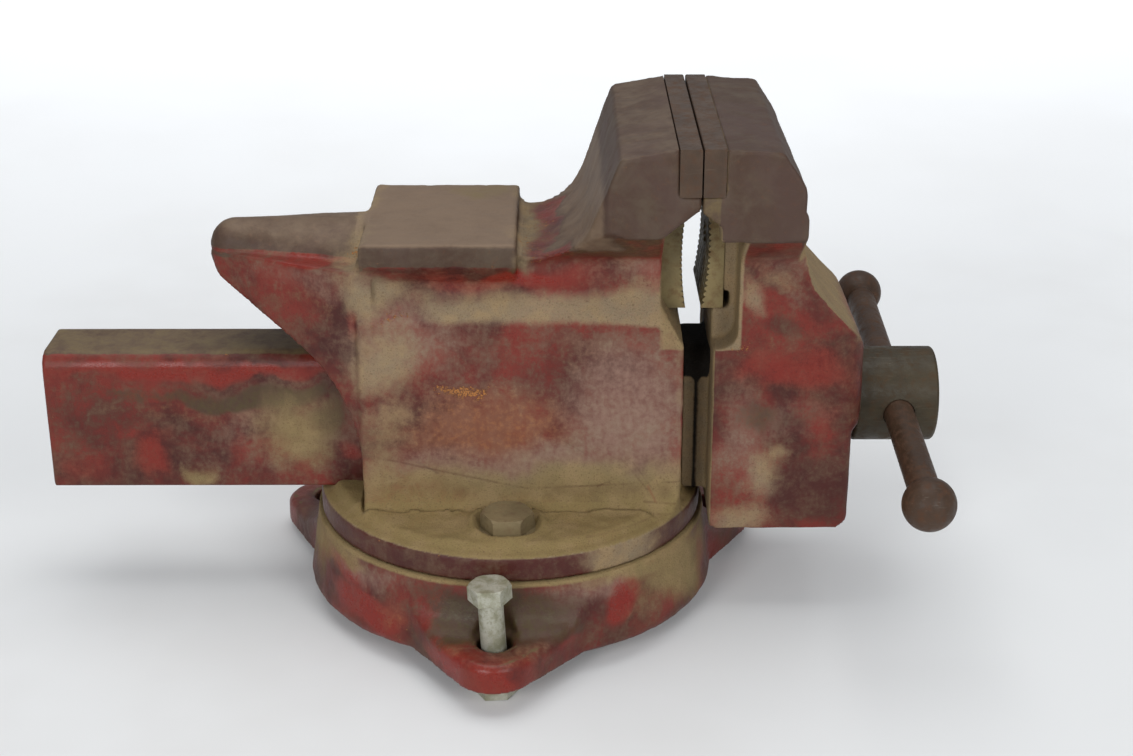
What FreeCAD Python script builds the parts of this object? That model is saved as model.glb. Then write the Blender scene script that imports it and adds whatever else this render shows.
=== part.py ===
"""Combination bench vise with anvil, horn, pipe jaws and swivel base.

Units are millimetres. +X points from the horn to the handle, +Z is up, and the origin is on the swivel
axis in the plane of the base's bottom rim. The jaws are closed at rest.
"""
import FreeCAD, Part
import math
import os

V = FreeCAD.Vector
X_AXIS, Y_AXIS, Z_AXIS = V(1, 0, 0), V(0, 1, 0), V(0, 0, 1)

# Fits and clearances
running_fit = 0.05          # radial clearance of a turning or sliding round fit
slide_gap = 0.4             # all round the beam in the housing
swivel_gap = 0.3            # between the base's top and the flange
joint_gap = 0.3             # between curved faces of pieces that only sit near each other
bolt_clearance = 0.5        # radial clearance of a bolt in its hole

# Swivel base
base_height = 41.0
base_top_r = 104.0
base_flare = 6.0            # the ring is this much wider at its foot
rim_width = 13.0
rim_edge_r = 5.0            # rounding of the ring's lower outer edge
base_recess_depth = 8.0
centre_boss_r = 32.0
centre_boss_lift = 2.0      # the boss stays above the bench
front_lug_angle = -92.7     # degrees from +X
rear_lug_spread = 66.2      # degrees of each rear lug from the line opposite the front lug
lug_hole_beyond = 7.0       # the hole's centre lies this far outside the ring's foot
lug_hole_r = 9.2
lug_end_beyond = 11.5       # and the centre of the round tip this far
lug_end_r = 20.5
lug_flank_angle = 38.0      # degrees between a lug's flank and its middle line
lug_waist_inside = 16.0     # the flanks would meet the ring this far inside its foot
lug_hollow_r = 60.0
lug_root_inside = 26.0      # the lug's outline ends inside the ring
lug_root_angle = 62.0       # degrees from the lug's middle line
lug_thickness = 15.0
lug_edge_r = 5.0
lug_lift = 1.0              # the lugs stay above the bench
lug_slope_hollow_r = 14.0
lug_slope_drop = 2.0        # the slope starts this far below the ring's top
lug_rim_inside = 65.0       # the rounding of the lug's edges runs out this far inside the ring's foot
lug_spot_r = 12.5           # flat spot for the mounting bolt's nut or washer
lug_spot_depth = 14.0
slot_inside = 31.5          # middle line of the T slot for the lock bolts, inside the ring's top edge
slot_neck = 18.0
slot_chamber = 31.0
slot_lip = 12.0
slot_chamber_height = 14.0
slot_entry_angle = 45.0     # where the clamp nuts go in
bore_below_spigot = 2.0

# Vise body
flange_inside = 2.0         # the flange is this much smaller than the ring's top
flange_thickness = 14.0
flange_edge_r = 3.0
spigot_r = 20.0
spigot_length = 24.0
body_front_x = 89.0
body_rear_x = -74.5
housing_half = 52.0
housing_foot_r = 12.0       # hollow where the housing stands on the flange
housing_foot_width = 18.0   # metal on the flange beside the housing, from which the hollow is cut
housing_foot_height = 20.0
housing_foot_inset = 0.2
housing_shoulder_z = 160.0
housing_shoulder_rise = 14.0
housing_edge_r = 9.0
web_half = 45.0
web_top_z = 190.6
anvil_x0 = -72.0
anvil_x1 = 5.3
anvil_half = 53.3
anvil_top_z = 200.8
anvil_lip_z = 189.6         # foot of the anvil's upright side
anvil_flare_z = 178.6       # where the flare leaves the web
anvil_flare_r = 5.0
anvil_sunk = 4.0            # the anvil's block reaches this far into the web
anvil_edge_r = 1.5
horn_tip_x = -153.7
horn_tip_r = 13.5
horn_crease_z = 185.0
horn_crease_sunk = 6.0
horn_root_half = 33.0
horn_foot_share = 0.8       # width of the horn's section at its foot, of the width at the crease
horn_root_drop = 0.4        # the horn's back starts this far below the anvil's top
horn_chin_back = 5.0        # the horn's underside starts this far behind the tip
horn_chin_z = 173.0
horn_chin_r = 12.0
horn_lip_r = 2.0
horn_under_slope = 0.727    # rise over run
horn_wedge_flare = 5.0      # the wedge under the horn is this much wider than the web at its root
horn_wedge_r = 30.0
horn_wedge_tip_share = 0.9
horn_wedge_flat = 0.5
gusset_r = 80.0             # hollow curve from the horn's underside to the body's rear
saddle_z = 192.5
saddle_step = 2.0
saddle_rear_r = 4.0
neck_foot_x = 34.0          # where the saddle would turn up into the fixed jaw's neck
neck_hollow_r = 32.0
neck_top_x = 51.0
neck_top_z = 240.0
neck_flare_x = 27.0         # the neck spreads from here to the full jaw width
neck_flare_r = 30.0
neck_wide_x = 50.5
neck_under_rise = 4.0

# Beam and moving jaw
beam_half = 22.6
beam_z0 = 57.2
beam_z1 = 131.9
beam_rear_x = -242.0
beam_edge_r = 9.0
beam_wall = 5.5
beam_root_x = 91.0          # the beam is thicker from here to the jaw, outside the housing
beam_root_rise = 2.6
jaw_rear_x = 104.0
jaw_front_x = 176.0
jaw_shoulder_x = 180.8      # front of the shoulder that carries the screw
jaw_foot_z = 44.5
jaw_foot_front_r = 7.0
jaw_foot_rear_r = 4.0
jaw_ledge_z = 99.0          # underside of the shoulder
jaw_ledge_rise = 4.5
jaw_ledge_r = 3.0
jaw_brow_z = 147.0          # top of the shoulder
jaw_brow_r = 14.0
jaw_waist_x = 152.5
jaw_waist_z = 177.0
jaw_waist_r = 28.0
jaw_nape_x = 145.5
jaw_nape_z = 206.0
jaw_neck_top_z = 222.0
jaw_side_half = 49.0
jaw_corner_r = 9.0
jaw_neck_foot_z = 186.0
jaw_neck_flare_z = 192.0
jaw_neck_hollow_r = 14.0
jaw_wall_x = 150.0          # rear of the wall that carries the screw
pocket_r = 6.0              # corners of the hollow behind that wall
pocket_below = 21.1         # the hollow reaches this far below the screw's axis
bearing_face_x = 179.0      # machined face under the thrust washer
bearing_face_r = 27.0

# Jaws
seam_x = 94.3
closed_gap = 0.8
jaw_width = 152.4
jaw_top_z = 255.4
jaw_top_step = 0.2          # the castings end this far below the jaw plates
fixed_jaw_rear_x = 49.4
fixed_jaw_top_x = 55.1
fixed_jaw_top_drop = 5.2    # the jaw tops fall away from the seam
moving_jaw_rear_x = 144.0
moving_jaw_top_x = 132.5
moving_jaw_top_drop = 2.2
jaw_end_high_z = 236.0      # the ends' upper rear corners start here
jaw_end_high_r = 14.0
jaw_end_low_r = 12.0
jaw_top_corner_r = 2.5
block_foot_z = 210.5
moving_block_drop = 1.5     # the moving jaw's block reaches this much lower
under_rise_z = 225.5        # the jaws' undersides rise towards the seam, to here
fixed_under_x = 75.0        # and start to rise here
moving_under_x = 115.0
under_r = 4.0
plate_thickness = 10.6
plate_height = 23.4
plate_edge_r = 1.0
plate_screw_pitch = 88.0
plate_screw_r = 4.76
plate_head_r = 8.0
plate_head_depth = 5.6
plate_head_sunk = 1.0
plate_socket_af = 6.0
plate_socket_depth = 3.0
plate_screw_reach = 14.0    # into the casting
groove_pitch = 4.0          # shallow grooves that grip the work
groove_width = 1.0
groove_depth = 0.5
groove_foot_margin = 1.5
groove_top_margin = 2.5

# Pipe jaws. Their faces are placed from the seam: at the top, at the waist and at the foot.
pipe_jaw_half = 30.0
pipe_jaw_z0 = 160.0
pipe_waist_z = 190.0
static_pipe_top = -4.5
static_pipe_waist = -6.0
static_pipe_foot = -3.8
moving_pipe_top = 6.7
moving_pipe_waist = 7.3
moving_pipe_foot = 4.1
pipe_jaw_back_static = 77.5
pipe_jaw_back_moving = 109.5
pipe_tooth_pitch = 3.0
pipe_tooth_share = 0.84     # width of a notch in pitches
pipe_tooth_depth = 1.3
pipe_tooth_lead = 0.4       # a notch starts this far outside the face
pipe_screw_r = 3.97
pipe_head_r = 6.6
pipe_head_depth = 4.6
pipe_head_sunk = 0.6
pipe_socket_af = 5.0
pipe_socket_depth = 2.5
pipe_screw_reach = 12.0
pipe_screw_z = 190.0
front_ledge_z = 147.5       # the body's front steps back above this
front_ledge_rise = 20.0
cheek_wall_x = 116.0        # wall of the side recess beside the moving pipe jaw
cheek_wall_r = 10.0
seat_ledge_z = 144.5
seat_relief = 3.5           # depth and height of the relief at the foot of the moving pipe jaw's seat
seat_relief_height = 9.5

# Screw, nut and handle
screw_z = 100.6
screw_r = 11.1
screw_pitch = 5.08
thread_depth = 2.0
thread_crest_share = 0.37   # of the pitch
thread_flank_share = 0.13
thread_runout = 6.0         # plain length between the thread and the collar
screw_tip_x = -128.0
journal_r = 13.0
hub_r = 25.0
hub_length = 43.4
hub_edge_r = 2.0
thrust_washer_t = 2.6
thrust_washer_r = 22.5
nut_x0 = 26.0
nut_x1 = 80.0
nut_clearance = 0.6
nut_crown = 17.5            # nut metal above the screw's axis
nut_edge_r = 8.0
nut_screw_r = 4.76
nut_screw_inset = 13.0      # the screws' places from the nut's ends
nut_screw_reach = 18.0
nut_screw_hole = 20.0
nut_screw_head_r = 7.2
nut_screw_head_h = 5.5
nut_screw_head_play = 0.5
nut_socket_af = 8.0
nut_socket_depth = 3.0
collar_r = 15.6
collar_length = 13.0
collar_pin_r = 2.4
collar_pin_inset = 0.5      # the pin's ends lie inside the collar
bar_r = 7.94
bar_hole_gap = 0.4          # radial play of the handle in the hub
bar_from_hub = 22.6         # the bar's axis beyond the hub's rear end
bar_tilt = 5.0              # degrees, far end up
near_ball_at = -116.0       # ball centres along the bar from the screw's axis
far_ball_at = 128.0
ball_r = 13.3
ball_seat = 2.0             # the bar's shoulder sits this far inside the ball's face
bar_spigot_r = 5.5

# Swivel lock bolts
lock_bolt_r = 7.94
lock_head_af = 23.8
lock_head_h = 8.5
lock_washer_r = 15.0
lock_washer_t = 2.2
lock_spot_gap = 1.5         # spot face beyond the washer's edge
lock_spot_height = 17.0
lock_bolt_below_nut = 1.0
clamp_side = 28.0
clamp_t = 10.0
clamp_play = 0.8            # between the clamp nut and the slot's walls

# Loose mounting bolt in the front lug
mount_bolt_r = 6.35
mount_head_af = 19.05
mount_head_h = 8.2
mount_nut_h = 11.1
mount_bolt_play = 24.4      # shank showing between the head and the lug
mount_bolt_lean = 3.0       # degrees, the head leans towards the horn
mount_nut_drop = 1.4        # the leaning nut hangs this far below the lug

# Hexagon heads and sockets. Their corners are turned down at 45 degrees.
hex_turned_share = 0.6      # of the corners' reach beyond the flats
hex_turned_extra = 0.18

# Tools that cut reach this far past the metal
past = 1.0
hole_beyond = 2.0           # a blind hole is this much deeper than its screw
wide = 90.0                 # more than half the width of anything that they cut
near = 0.01                 # faces and edges are told apart within this distance
upright = 0.001             # and a wall's normal dips less than this


# Shapes used by several pieces

def box(x0, x1, y0, y1, z0, z1):
    return Part.makeBox(x1 - x0, y1 - y0, z1 - z0, V(x0, y0, z0))


def rod(r, start, axis, length):
    return Part.makeCylinder(r, length, start, axis)


def hex_prism(across_flats, height, start, axis=Z_AXIS):
    """A six-sided prism with its corners turned down like a real bolt head."""
    corner = across_flats / math.sqrt(3)
    points = [V(corner * math.cos(math.radians(60 * i)), corner * math.sin(math.radians(60 * i)), 0)
              for i in range(7)]
    prism = Part.Face(Part.makePolygon(points)).extrude(V(0, 0, height))
    top_r = corner - (corner - across_flats / 2) * hex_turned_share - hex_turned_extra
    prism = prism.common(Part.makeCone(top_r + height, top_r, height))
    turn = FreeCAD.Placement(start, FreeCAD.Rotation(Z_AXIS, axis))
    prism.Placement = turn.multiply(prism.Placement)
    return prism


def rounded_wire(corners, to_point):
    """A closed outline of straight runs. Each corner is (u, v) or (u, v, radius of its rounding)."""
    n = len(corners)
    starts, ends, middles = [], [], []
    for i, corner in enumerate(corners):
        here = V(corner[0], corner[1], 0)
        r = corner[2] if len(corner) > 2 else 0.0
        before = V(corners[i - 1][0], corners[i - 1][1], 0) - here
        after = V(corners[(i + 1) % n][0], corners[(i + 1) % n][1], 0) - here
        before.normalize()
        after.normalize()
        if r <= 0:
            starts.append(here)
            ends.append(here)
            middles.append(None)
            continue
        half_angle = before.getAngle(after) / 2
        setback = r / math.tan(half_angle)
        bisector = before + after
        bisector.normalize()
        starts.append(here + before * setback)
        ends.append(here + after * setback)
        middles.append(here + bisector * (r / math.sin(half_angle) - r))
    edges = []
    for i in range(n):
        if middles[i] is not None:
            arc = Part.Arc(to_point(starts[i]), to_point(middles[i]), to_point(ends[i]))
            edges.append(arc.toShape())
        following = starts[(i + 1) % n]
        if (following - ends[i]).Length > near:
            edges.append(Part.LineSegment(to_point(ends[i]), to_point(following)).toShape())
    return Part.Wire(edges)


def side_profile(corners, half_width):
    """An outline in X and Z, carried across the vise from -half_width to +half_width."""
    wire = rounded_wire(corners, lambda p: V(p.x, -half_width, p.y))
    return Part.Face(wire).extrude(V(0, 2 * half_width, 0))


def plan_profile(corners, z0, z1):
    """An outline in X and Y, carried up from z0 to z1."""
    wire = rounded_wire(corners, lambda p: V(p.x, p.y, z0))
    return Part.Face(wire).extrude(V(0, 0, z1 - z0))


def front_profile(half_corners, x0, x1):
    """Half an outline in Y and Z, mirrored in the vise's middle plane and carried from x0 to x1."""
    mirrored = [(-c[0],) + tuple(c[1:]) for c in reversed(half_corners)]
    wire = rounded_wire(list(half_corners) + mirrored, lambda p: V(x0, p.x, p.y))
    return Part.Face(wire).extrude(V(x1 - x0, 0, 0))


def fuse(*shapes):
    joined = shapes[0].multiFuse(list(shapes[1:]))
    return joined.removeSplitter()


def ring(middle_r, width, z0, z1):
    """A flat ring around the swivel axis."""
    outer = rod(middle_r + width / 2, V(0, 0, z0), Z_AXIS, z1 - z0)
    return outer.cut(rod(middle_r - width / 2, V(0, 0, z0), Z_AXIS, z1 - z0))


def polar(r, degrees, z=0.0):
    return V(r * math.cos(math.radians(degrees)), r * math.sin(math.radians(degrees)), z)


# Heights and places worked out from the sizes above

base_foot_r = base_top_r + base_flare
lug_hole_pitch_r = base_foot_r + lug_hole_beyond
lug_end_pitch_r = base_foot_r + lug_end_beyond
slot_pitch_r = base_top_r - slot_inside
flange_r = base_top_r - flange_inside
flange_z0 = base_height + swivel_gap
flange_z1 = flange_z0 + flange_thickness
chamber_z1 = base_height - slot_lip
chamber_z0 = chamber_z1 - slot_chamber_height
static_face_x = seam_x - closed_gap / 2
moving_face_x = seam_x + closed_gap / 2
static_seat_x = static_face_x - plate_thickness
moving_seat_x = moving_face_x + plate_thickness
plate_z0 = jaw_top_z - plate_height
plate_screw_z = jaw_top_z - plate_height / 2
jaw_half = jaw_width / 2
hub_x0 = bearing_face_x + thrust_washer_t
bar_x = hub_x0 + bar_from_hub
bar_axis = V(0, math.cos(math.radians(bar_tilt)), math.sin(math.radians(bar_tilt)))
bar_centre = V(bar_x, 0, screw_z)
channel_half = beam_half - beam_wall
channel_z1 = beam_z1 - beam_wall
nut_half = channel_half - nut_clearance
nut_top_z = screw_z + nut_crown
tunnel_z0 = beam_z0 - slide_gap
rear_line = front_lug_angle + 180.0
lug_angles = [front_lug_angle, rear_line - rear_lug_spread, rear_line + rear_lug_spread]
nut_screw_seat_z = flange_z0 + nut_screw_head_h + nut_screw_head_play
plate_hole_depth = plate_screw_reach + hole_beyond
pipe_hole_depth = pipe_screw_reach + hole_beyond
static_pipe_face = (seam_x + static_pipe_top, seam_x + static_pipe_waist, seam_x + static_pipe_foot)
moving_pipe_face = (seam_x + moving_pipe_top, seam_x + moving_pipe_waist, seam_x + moving_pipe_foot)
collar_x1 = jaw_wall_x - joint_gap
collar_x0 = collar_x1 - collar_length
front_lug = polar(lug_hole_pitch_r, front_lug_angle)
mount_axis = V(-math.sin(math.radians(mount_bolt_lean)), 0, math.cos(math.radians(mount_bolt_lean)))
mount_foot = front_lug + V(0, 0, lug_lift) - mount_axis * (mount_nut_drop + mount_nut_h)


# Swivel base

def lug_outline():
    """Outline of one bolting lug: straight flanks that leave the ring in a hollow and meet in a round tip."""
    flank = math.radians(lug_flank_angle)
    apex_x = lug_end_pitch_r + lug_end_r / math.sin(flank)
    waist_x = base_foot_r - lug_waist_inside
    waist_half = (apex_x - waist_x) * math.tan(flank)
    root = polar(base_foot_r - lug_root_inside, lug_root_angle)
    return [(root.x, -root.y), (waist_x, -waist_half, lug_hollow_r), (apex_x, 0.0, lug_end_r),
            (waist_x, waist_half, lug_hollow_r), (root.x, root.y)]


def lug(angle):
    """A lug with the hollow slope that carries its top up to the ring's wall, its upper edges rounded."""
    top_z = lug_lift + lug_thickness
    slope_z1 = base_height - lug_slope_drop
    # while its edges are rounded the slope runs on to twice its height, and then it is cut off in the ring
    high_z = 2 * slope_z1 - top_z
    high_r = 2 * (base_top_r - past) - base_foot_r
    reach = lug_end_pitch_r + 2 * lug_end_r
    blank = plan_profile(lug_outline(), lug_lift, high_z)
    section = rounded_wire([(0, lug_lift), (reach, lug_lift), (reach, top_z),
                            (base_foot_r, top_z, lug_slope_hollow_r), (high_r, high_z), (0, high_z)],
                           lambda p: V(p.x, 0, p.y))
    turned = Part.Face(section).revolve(V(0, 0, 0), Z_AXIS, 360)
    solid = blank.common(turned).removeSplitter()
    rims = []
    for edge in solid.Edges:
        middle = edge.valueAt((edge.FirstParameter + edge.LastParameter) / 2)
        walls = [f for f in solid.ancestorsOfType(edge, Part.Face)
                 if abs(f.normalAt(*f.Surface.parameter(middle)).z) < upright]
        outside = middle.x > base_foot_r - lug_rim_inside
        if len(walls) == 1 and edge.BoundBox.ZMin > top_z - near and outside:
            rims.append(edge)
    solid = solid.makeFillet(lug_edge_r, rims)
    solid = solid.common(rod(reach, V(0, 0, lug_lift), Z_AXIS, slope_z1 - lug_lift))
    solid.rotate(V(0, 0, 0), Z_AXIS, angle)
    return solid


def swivel_base():
    body = Part.makeCone(base_foot_r, base_top_r, base_height)
    body = body.makeFillet(rim_edge_r, [e for e in body.Edges if e.BoundBox.ZMax < near])
    for angle in lug_angles:
        body = body.fuse(lug(angle))
    # hollow underneath, with a boss left round the spigot's bore
    recess = rod(base_foot_r - rim_width, V(0, 0, -past), Z_AXIS, base_recess_depth + past)
    boss = rod(centre_boss_r, V(0, 0, centre_boss_lift), Z_AXIS, base_recess_depth)
    body = body.cut(recess.cut(boss))
    # T slot: a narrow neck over a wide chamber
    neck = ring(slot_pitch_r, slot_neck, chamber_z1 - past, base_height + past)
    chamber = ring(slot_pitch_r, slot_chamber, chamber_z0, chamber_z1)
    body = body.cut(neck).cut(chamber)
    # one wide place in the lips, where the clamp nuts go in
    body = body.cut(rod(slot_chamber / 2, polar(slot_pitch_r, slot_entry_angle, chamber_z1 - past), Z_AXIS,
                        slot_lip + 2 * past))
    bore_z = base_height - spigot_length - bore_below_spigot
    body = body.cut(rod(spigot_r + running_fit, V(0, 0, bore_z), Z_AXIS, base_height + past - bore_z))
    for angle in lug_angles:
        body = body.cut(rod(lug_hole_r, polar(lug_hole_pitch_r, angle, -past), Z_AXIS, base_height))
        spot = polar(lug_hole_pitch_r, angle, lug_lift + lug_thickness)
        body = body.cut(rod(lug_spot_r, spot, Z_AXIS, lug_spot_depth))
    return body.removeSplitter()


# Mounting bolt, loose in the front lug

def mounting_nut():
    nut = hex_prism(mount_head_af, mount_nut_h, mount_foot, mount_axis)
    return nut.cut(rod(mount_bolt_r, mount_foot - mount_axis * past, mount_axis, mount_nut_h + 2 * past))


def mounting_bolt():
    shank_length = mount_nut_h + mount_nut_drop + lug_thickness + mount_bolt_play
    shank = rod(mount_bolt_r, mount_foot, mount_axis, shank_length)
    head_seat = mount_foot + mount_axis * shank_length
    return fuse(shank, hex_prism(mount_head_af, mount_head_h, head_seat, mount_axis))


# Vise body

def beam_section(grow, z0):
    """Half the beam's outline in Y and Z, grown by a clearance."""
    top = beam_z1 + grow
    return [(beam_half + grow, z0), (beam_half + grow, top, beam_edge_r + grow)]


def body_core():
    """Swivel flange, slide housing and the web under the anvil."""
    flange = rod(flange_r, V(0, 0, flange_z0), Z_AXIS, flange_thickness)
    upper_rim = [e for e in flange.Edges if e.BoundBox.ZMin > flange_z1 - near]
    flange = flange.makeFillet(flange_edge_r, upper_rim)
    foot_out = housing_half + housing_foot_width
    outline = [(foot_out, flange_z0), (foot_out, flange_z1), (housing_half, flange_z1, housing_foot_r),
               (housing_half, housing_shoulder_z, housing_edge_r),
               (web_half, housing_shoulder_z + housing_shoulder_rise, housing_edge_r), (web_half, web_top_z)]
    housing = front_profile(outline, body_rear_x, body_front_x)
    # the housing's foot never stands proud of the round flange
    foot_z1 = flange_z1 + housing_foot_height
    clip = fuse(rod(flange_r - housing_foot_inset, V(0, 0, flange_z0), Z_AXIS, foot_z1 + past - flange_z0),
                box(body_rear_x, body_front_x, -housing_half, housing_half, foot_z1, web_top_z + past))
    return flange, housing.common(clip)


def anvil():
    outline = [(web_half - anvil_sunk, anvil_flare_z - anvil_sunk), (web_half, anvil_flare_z, anvil_flare_r),
               (anvil_half, anvil_lip_z), (anvil_half, anvil_top_z)]
    block = front_profile(outline, anvil_x0, anvil_x1)
    end_edges = [e for e in block.Edges
                 if e.BoundBox.ZMin > anvil_top_z - near and e.BoundBox.YLength > anvil_half]
    return block.makeFillet(anvil_edge_r, end_edges)


def horn_section(x, half, top):
    """Across the horn: a round back over a crease, drawn in below it."""
    foot = horn_crease_z - horn_crease_sunk
    foot_half = half * horn_foot_share
    arc = Part.Arc(V(x, -half, horn_crease_z), V(x, 0, top), V(x, half, horn_crease_z)).toShape()
    drop = Part.LineSegment(V(x, half, horn_crease_z), V(x, foot_half, foot)).toShape()
    floor = Part.LineSegment(V(x, foot_half, foot), V(x, -foot_half, foot)).toShape()
    rise = Part.LineSegment(V(x, -foot_half, foot), V(x, -half, horn_crease_z)).toShape()
    return Part.Wire([arc, drop, floor, rise])


def horn():
    """A blunt half-round horn on a wedge that runs down the rear of the body."""
    nose_x = horn_tip_x + horn_tip_r
    root_x = anvil_x0 + anvil_edge_r + anvil_sunk
    chin_x = horn_tip_x + horn_chin_back
    rear_corner_z = horn_chin_z - horn_under_slope * (body_rear_x - chin_x)
    side = [(root_x, flange_z1), (body_rear_x, flange_z1), (body_rear_x, rear_corner_z, gusset_r),
            (chin_x, horn_chin_z, horn_chin_r), (horn_tip_x, horn_crease_z, horn_lip_r),
            (root_x, horn_crease_z)]
    root_half = web_half + horn_wedge_flare
    tip_half = horn_tip_r * horn_wedge_tip_share
    tip_r = tip_half - horn_wedge_flat
    plan = [(root_x, -root_half), (body_rear_x, -root_half, horn_wedge_r), (horn_tip_x, -tip_half, tip_r),
            (horn_tip_x, tip_half, tip_r), (body_rear_x, root_half, horn_wedge_r), (root_x, root_half)]
    wedge = side_profile(side, wide).common(plan_profile(plan, flange_z1, anvil_top_z))
    sections = [horn_section(root_x, horn_root_half, anvil_top_z - horn_root_drop),
                horn_section(nose_x, horn_tip_r, horn_crease_z + horn_tip_r)]
    crown = Part.makeLoft(sections, True, True)
    nose = Part.makeSphere(horn_tip_r, V(nose_x, 0, horn_crease_z))
    return wedge, crown, nose


def jaw_neck():
    """The flaring neck between the saddle and the fixed jaw."""
    inner_x = pipe_jaw_back_static
    foot_z = anvil_lip_z - anvil_flare_r
    side = [(anvil_x1, foot_z), (anvil_x1, saddle_z + saddle_step),
            (anvil_x1 + saddle_rear_r + past, saddle_z, saddle_rear_r),
            (neck_foot_x, saddle_z, neck_hollow_r), (neck_top_x, neck_top_z), (inner_x, neck_top_z),
            (inner_x, foot_z)]
    half_plan = [(anvil_x1 - past, anvil_half - past), (neck_flare_x, anvil_half, neck_flare_r),
                 (neck_wide_x, jaw_half), (static_seat_x + past, jaw_half)]
    plan = half_plan + [(c[0], -c[1]) + tuple(c[2:]) for c in reversed(half_plan)]
    front = [(web_half, foot_z), (web_half, web_top_z, housing_edge_r),
             (jaw_half, block_foot_z + neck_under_rise), (jaw_half, neck_top_z + past)]
    neck = side_profile(side, wide).common(plan_profile(plan, foot_z, neck_top_z))
    return neck.common(front_profile(front, anvil_x1 - past, inner_x + past))


def fixed_jaw_block():
    corners = [(fixed_jaw_top_x, jaw_top_z - fixed_jaw_top_drop, jaw_top_corner_r),
               (fixed_jaw_rear_x, jaw_end_high_z, jaw_end_high_r),
               (fixed_jaw_rear_x, block_foot_z, jaw_end_low_r), (fixed_under_x, block_foot_z, under_r),
               (static_face_x, under_rise_z), (static_face_x, plate_z0), (static_seat_x, plate_z0),
               (static_seat_x, jaw_top_z - jaw_top_step)]
    return side_profile(corners, jaw_half)


def plate_screw_places():
    return [-plate_screw_pitch / 2, plate_screw_pitch / 2]


def cut_front_step(body):
    """The body's front steps back over a sloping ledge to the pipe jaw's seat."""
    out_x = static_face_x
    ledge_top_z = front_ledge_z + front_ledge_rise
    step = side_profile([(body_front_x, front_ledge_z), (pipe_jaw_back_static, ledge_top_z),
                         (pipe_jaw_back_static, block_foot_z), (out_x, block_foot_z), (out_x, front_ledge_z)],
                        wide)
    seat_half = pipe_jaw_half + joint_gap
    seat = box(pipe_jaw_back_static, out_x, -seat_half, seat_half, pipe_jaw_z0 - joint_gap, block_foot_z)
    return body.cut(step).cut(seat)


def vise_body():
    flange, housing = body_core()
    wedge, crown, nose = horn()
    body = fuse(flange, housing, wedge, crown, nose, anvil(), jaw_neck(), fixed_jaw_block())
    body = cut_front_step(body)
    tunnel = front_profile(beam_section(slide_gap, tunnel_z0), body_rear_x - wide, body_front_x + past)
    body = body.cut(tunnel)
    body = body.fuse(rod(spigot_r, V(0, 0, base_height - spigot_length), Z_AXIS, spigot_length + past))
    for y in (-slot_pitch_r, slot_pitch_r):
        body = body.cut(rod(lock_bolt_r + bolt_clearance, V(0, y, flange_z0 - past), Z_AXIS,
                            flange_thickness + 2 * past))
        # spot face for the washer, cut back into the hollow at the housing's foot
        body = body.cut(rod(lock_washer_r + lock_spot_gap, V(0, y, flange_z1), Z_AXIS, lock_spot_height))
    spigot_z0 = base_height - spigot_length
    for x in nut_screw_places():
        body = body.cut(rod(nut_screw_r + bolt_clearance, V(x, 0, spigot_z0), Z_AXIS,
                            tunnel_z0 + past - spigot_z0))
        body = body.cut(rod(nut_screw_head_r + bolt_clearance, V(x, 0, spigot_z0 - past), Z_AXIS,
                            nut_screw_seat_z + past - spigot_z0))
    for y in plate_screw_places():
        body = body.cut(rod(plate_screw_r, V(static_seat_x - plate_hole_depth, y, plate_screw_z), X_AXIS,
                            plate_hole_depth + past))
    body = body.cut(rod(pipe_screw_r, V(pipe_jaw_back_static - pipe_hole_depth, 0, pipe_screw_z), X_AXIS,
                        pipe_hole_depth + past))
    return body.removeSplitter()


# Jaw plates and their screws

def span_rod(r, x0, x1, y, z):
    """A rod along X between two places, given in either order."""
    return rod(r, V(min(x0, x1), y, z), X_AXIS, abs(x1 - x0))


def jaw_plate(face_x, away):
    """A flat jaw face. away is -1 for the fixed jaw, whose metal lies towards -X, and +1 for the other."""
    back_x = face_x + away * plate_thickness
    plate = box(min(face_x, back_x), max(face_x, back_x), -jaw_half, jaw_half, plate_z0, jaw_top_z)
    top_edge = [e for e in plate.Edges
                if e.BoundBox.ZMin > jaw_top_z - near and abs(e.BoundBox.XMin - face_x) < near
                and e.BoundBox.XLength < near]
    plate = plate.makeFillet(plate_edge_r, top_edge)
    head_back_x = face_x + away * (plate_head_sunk + plate_head_depth)
    for y in plate_screw_places():
        through = span_rod(plate_screw_r + bolt_clearance, face_x - away, back_x + away, y, plate_screw_z)
        head = span_rod(plate_head_r + bolt_clearance, face_x - away, head_back_x, y, plate_screw_z)
        plate = plate.cut(through).cut(head)
    groove_half = groove_width / 2
    groove_z0 = plate_z0 + groove_foot_margin
    groove_z1 = jaw_top_z - groove_top_margin
    for i in range(int(jaw_width / groove_pitch) - 1):
        y = -jaw_half + groove_pitch * (i + 1)
        plate = plate.cut(box(face_x - groove_depth, face_x + groove_depth, y - groove_half, y + groove_half,
                              groove_z0, groove_z1))
    return plate


def socket_screw(head_x, inward, y, z, sizes):
    """A screw along X. head_x is the head's outer end and inward is +1 or -1, the way that it is driven."""
    head_r, head_depth, socket_af, socket_depth, shank_r, tip_x = sizes
    under_x = head_x + inward * head_depth
    socket_x0 = min(head_x + inward * socket_depth, head_x - inward * past)
    socket = hex_prism(socket_af, socket_depth + past, V(socket_x0, y, z), X_AXIS)
    return fuse(span_rod(head_r, head_x, under_x, y, z).cut(socket), span_rod(shank_r, under_x, tip_x, y, z))


def plate_screws(face_x, away):
    tip_x = face_x + away * (plate_thickness + plate_screw_reach)
    shank_r = plate_screw_r - joint_gap
    sizes = (plate_head_r, plate_head_depth, plate_socket_af, plate_socket_depth, shank_r, tip_x)
    return Part.makeCompound([socket_screw(face_x + away * plate_head_sunk, away, y, plate_screw_z, sizes)
                              for y in plate_screw_places()])


# Pipe jaws and their screws

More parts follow.
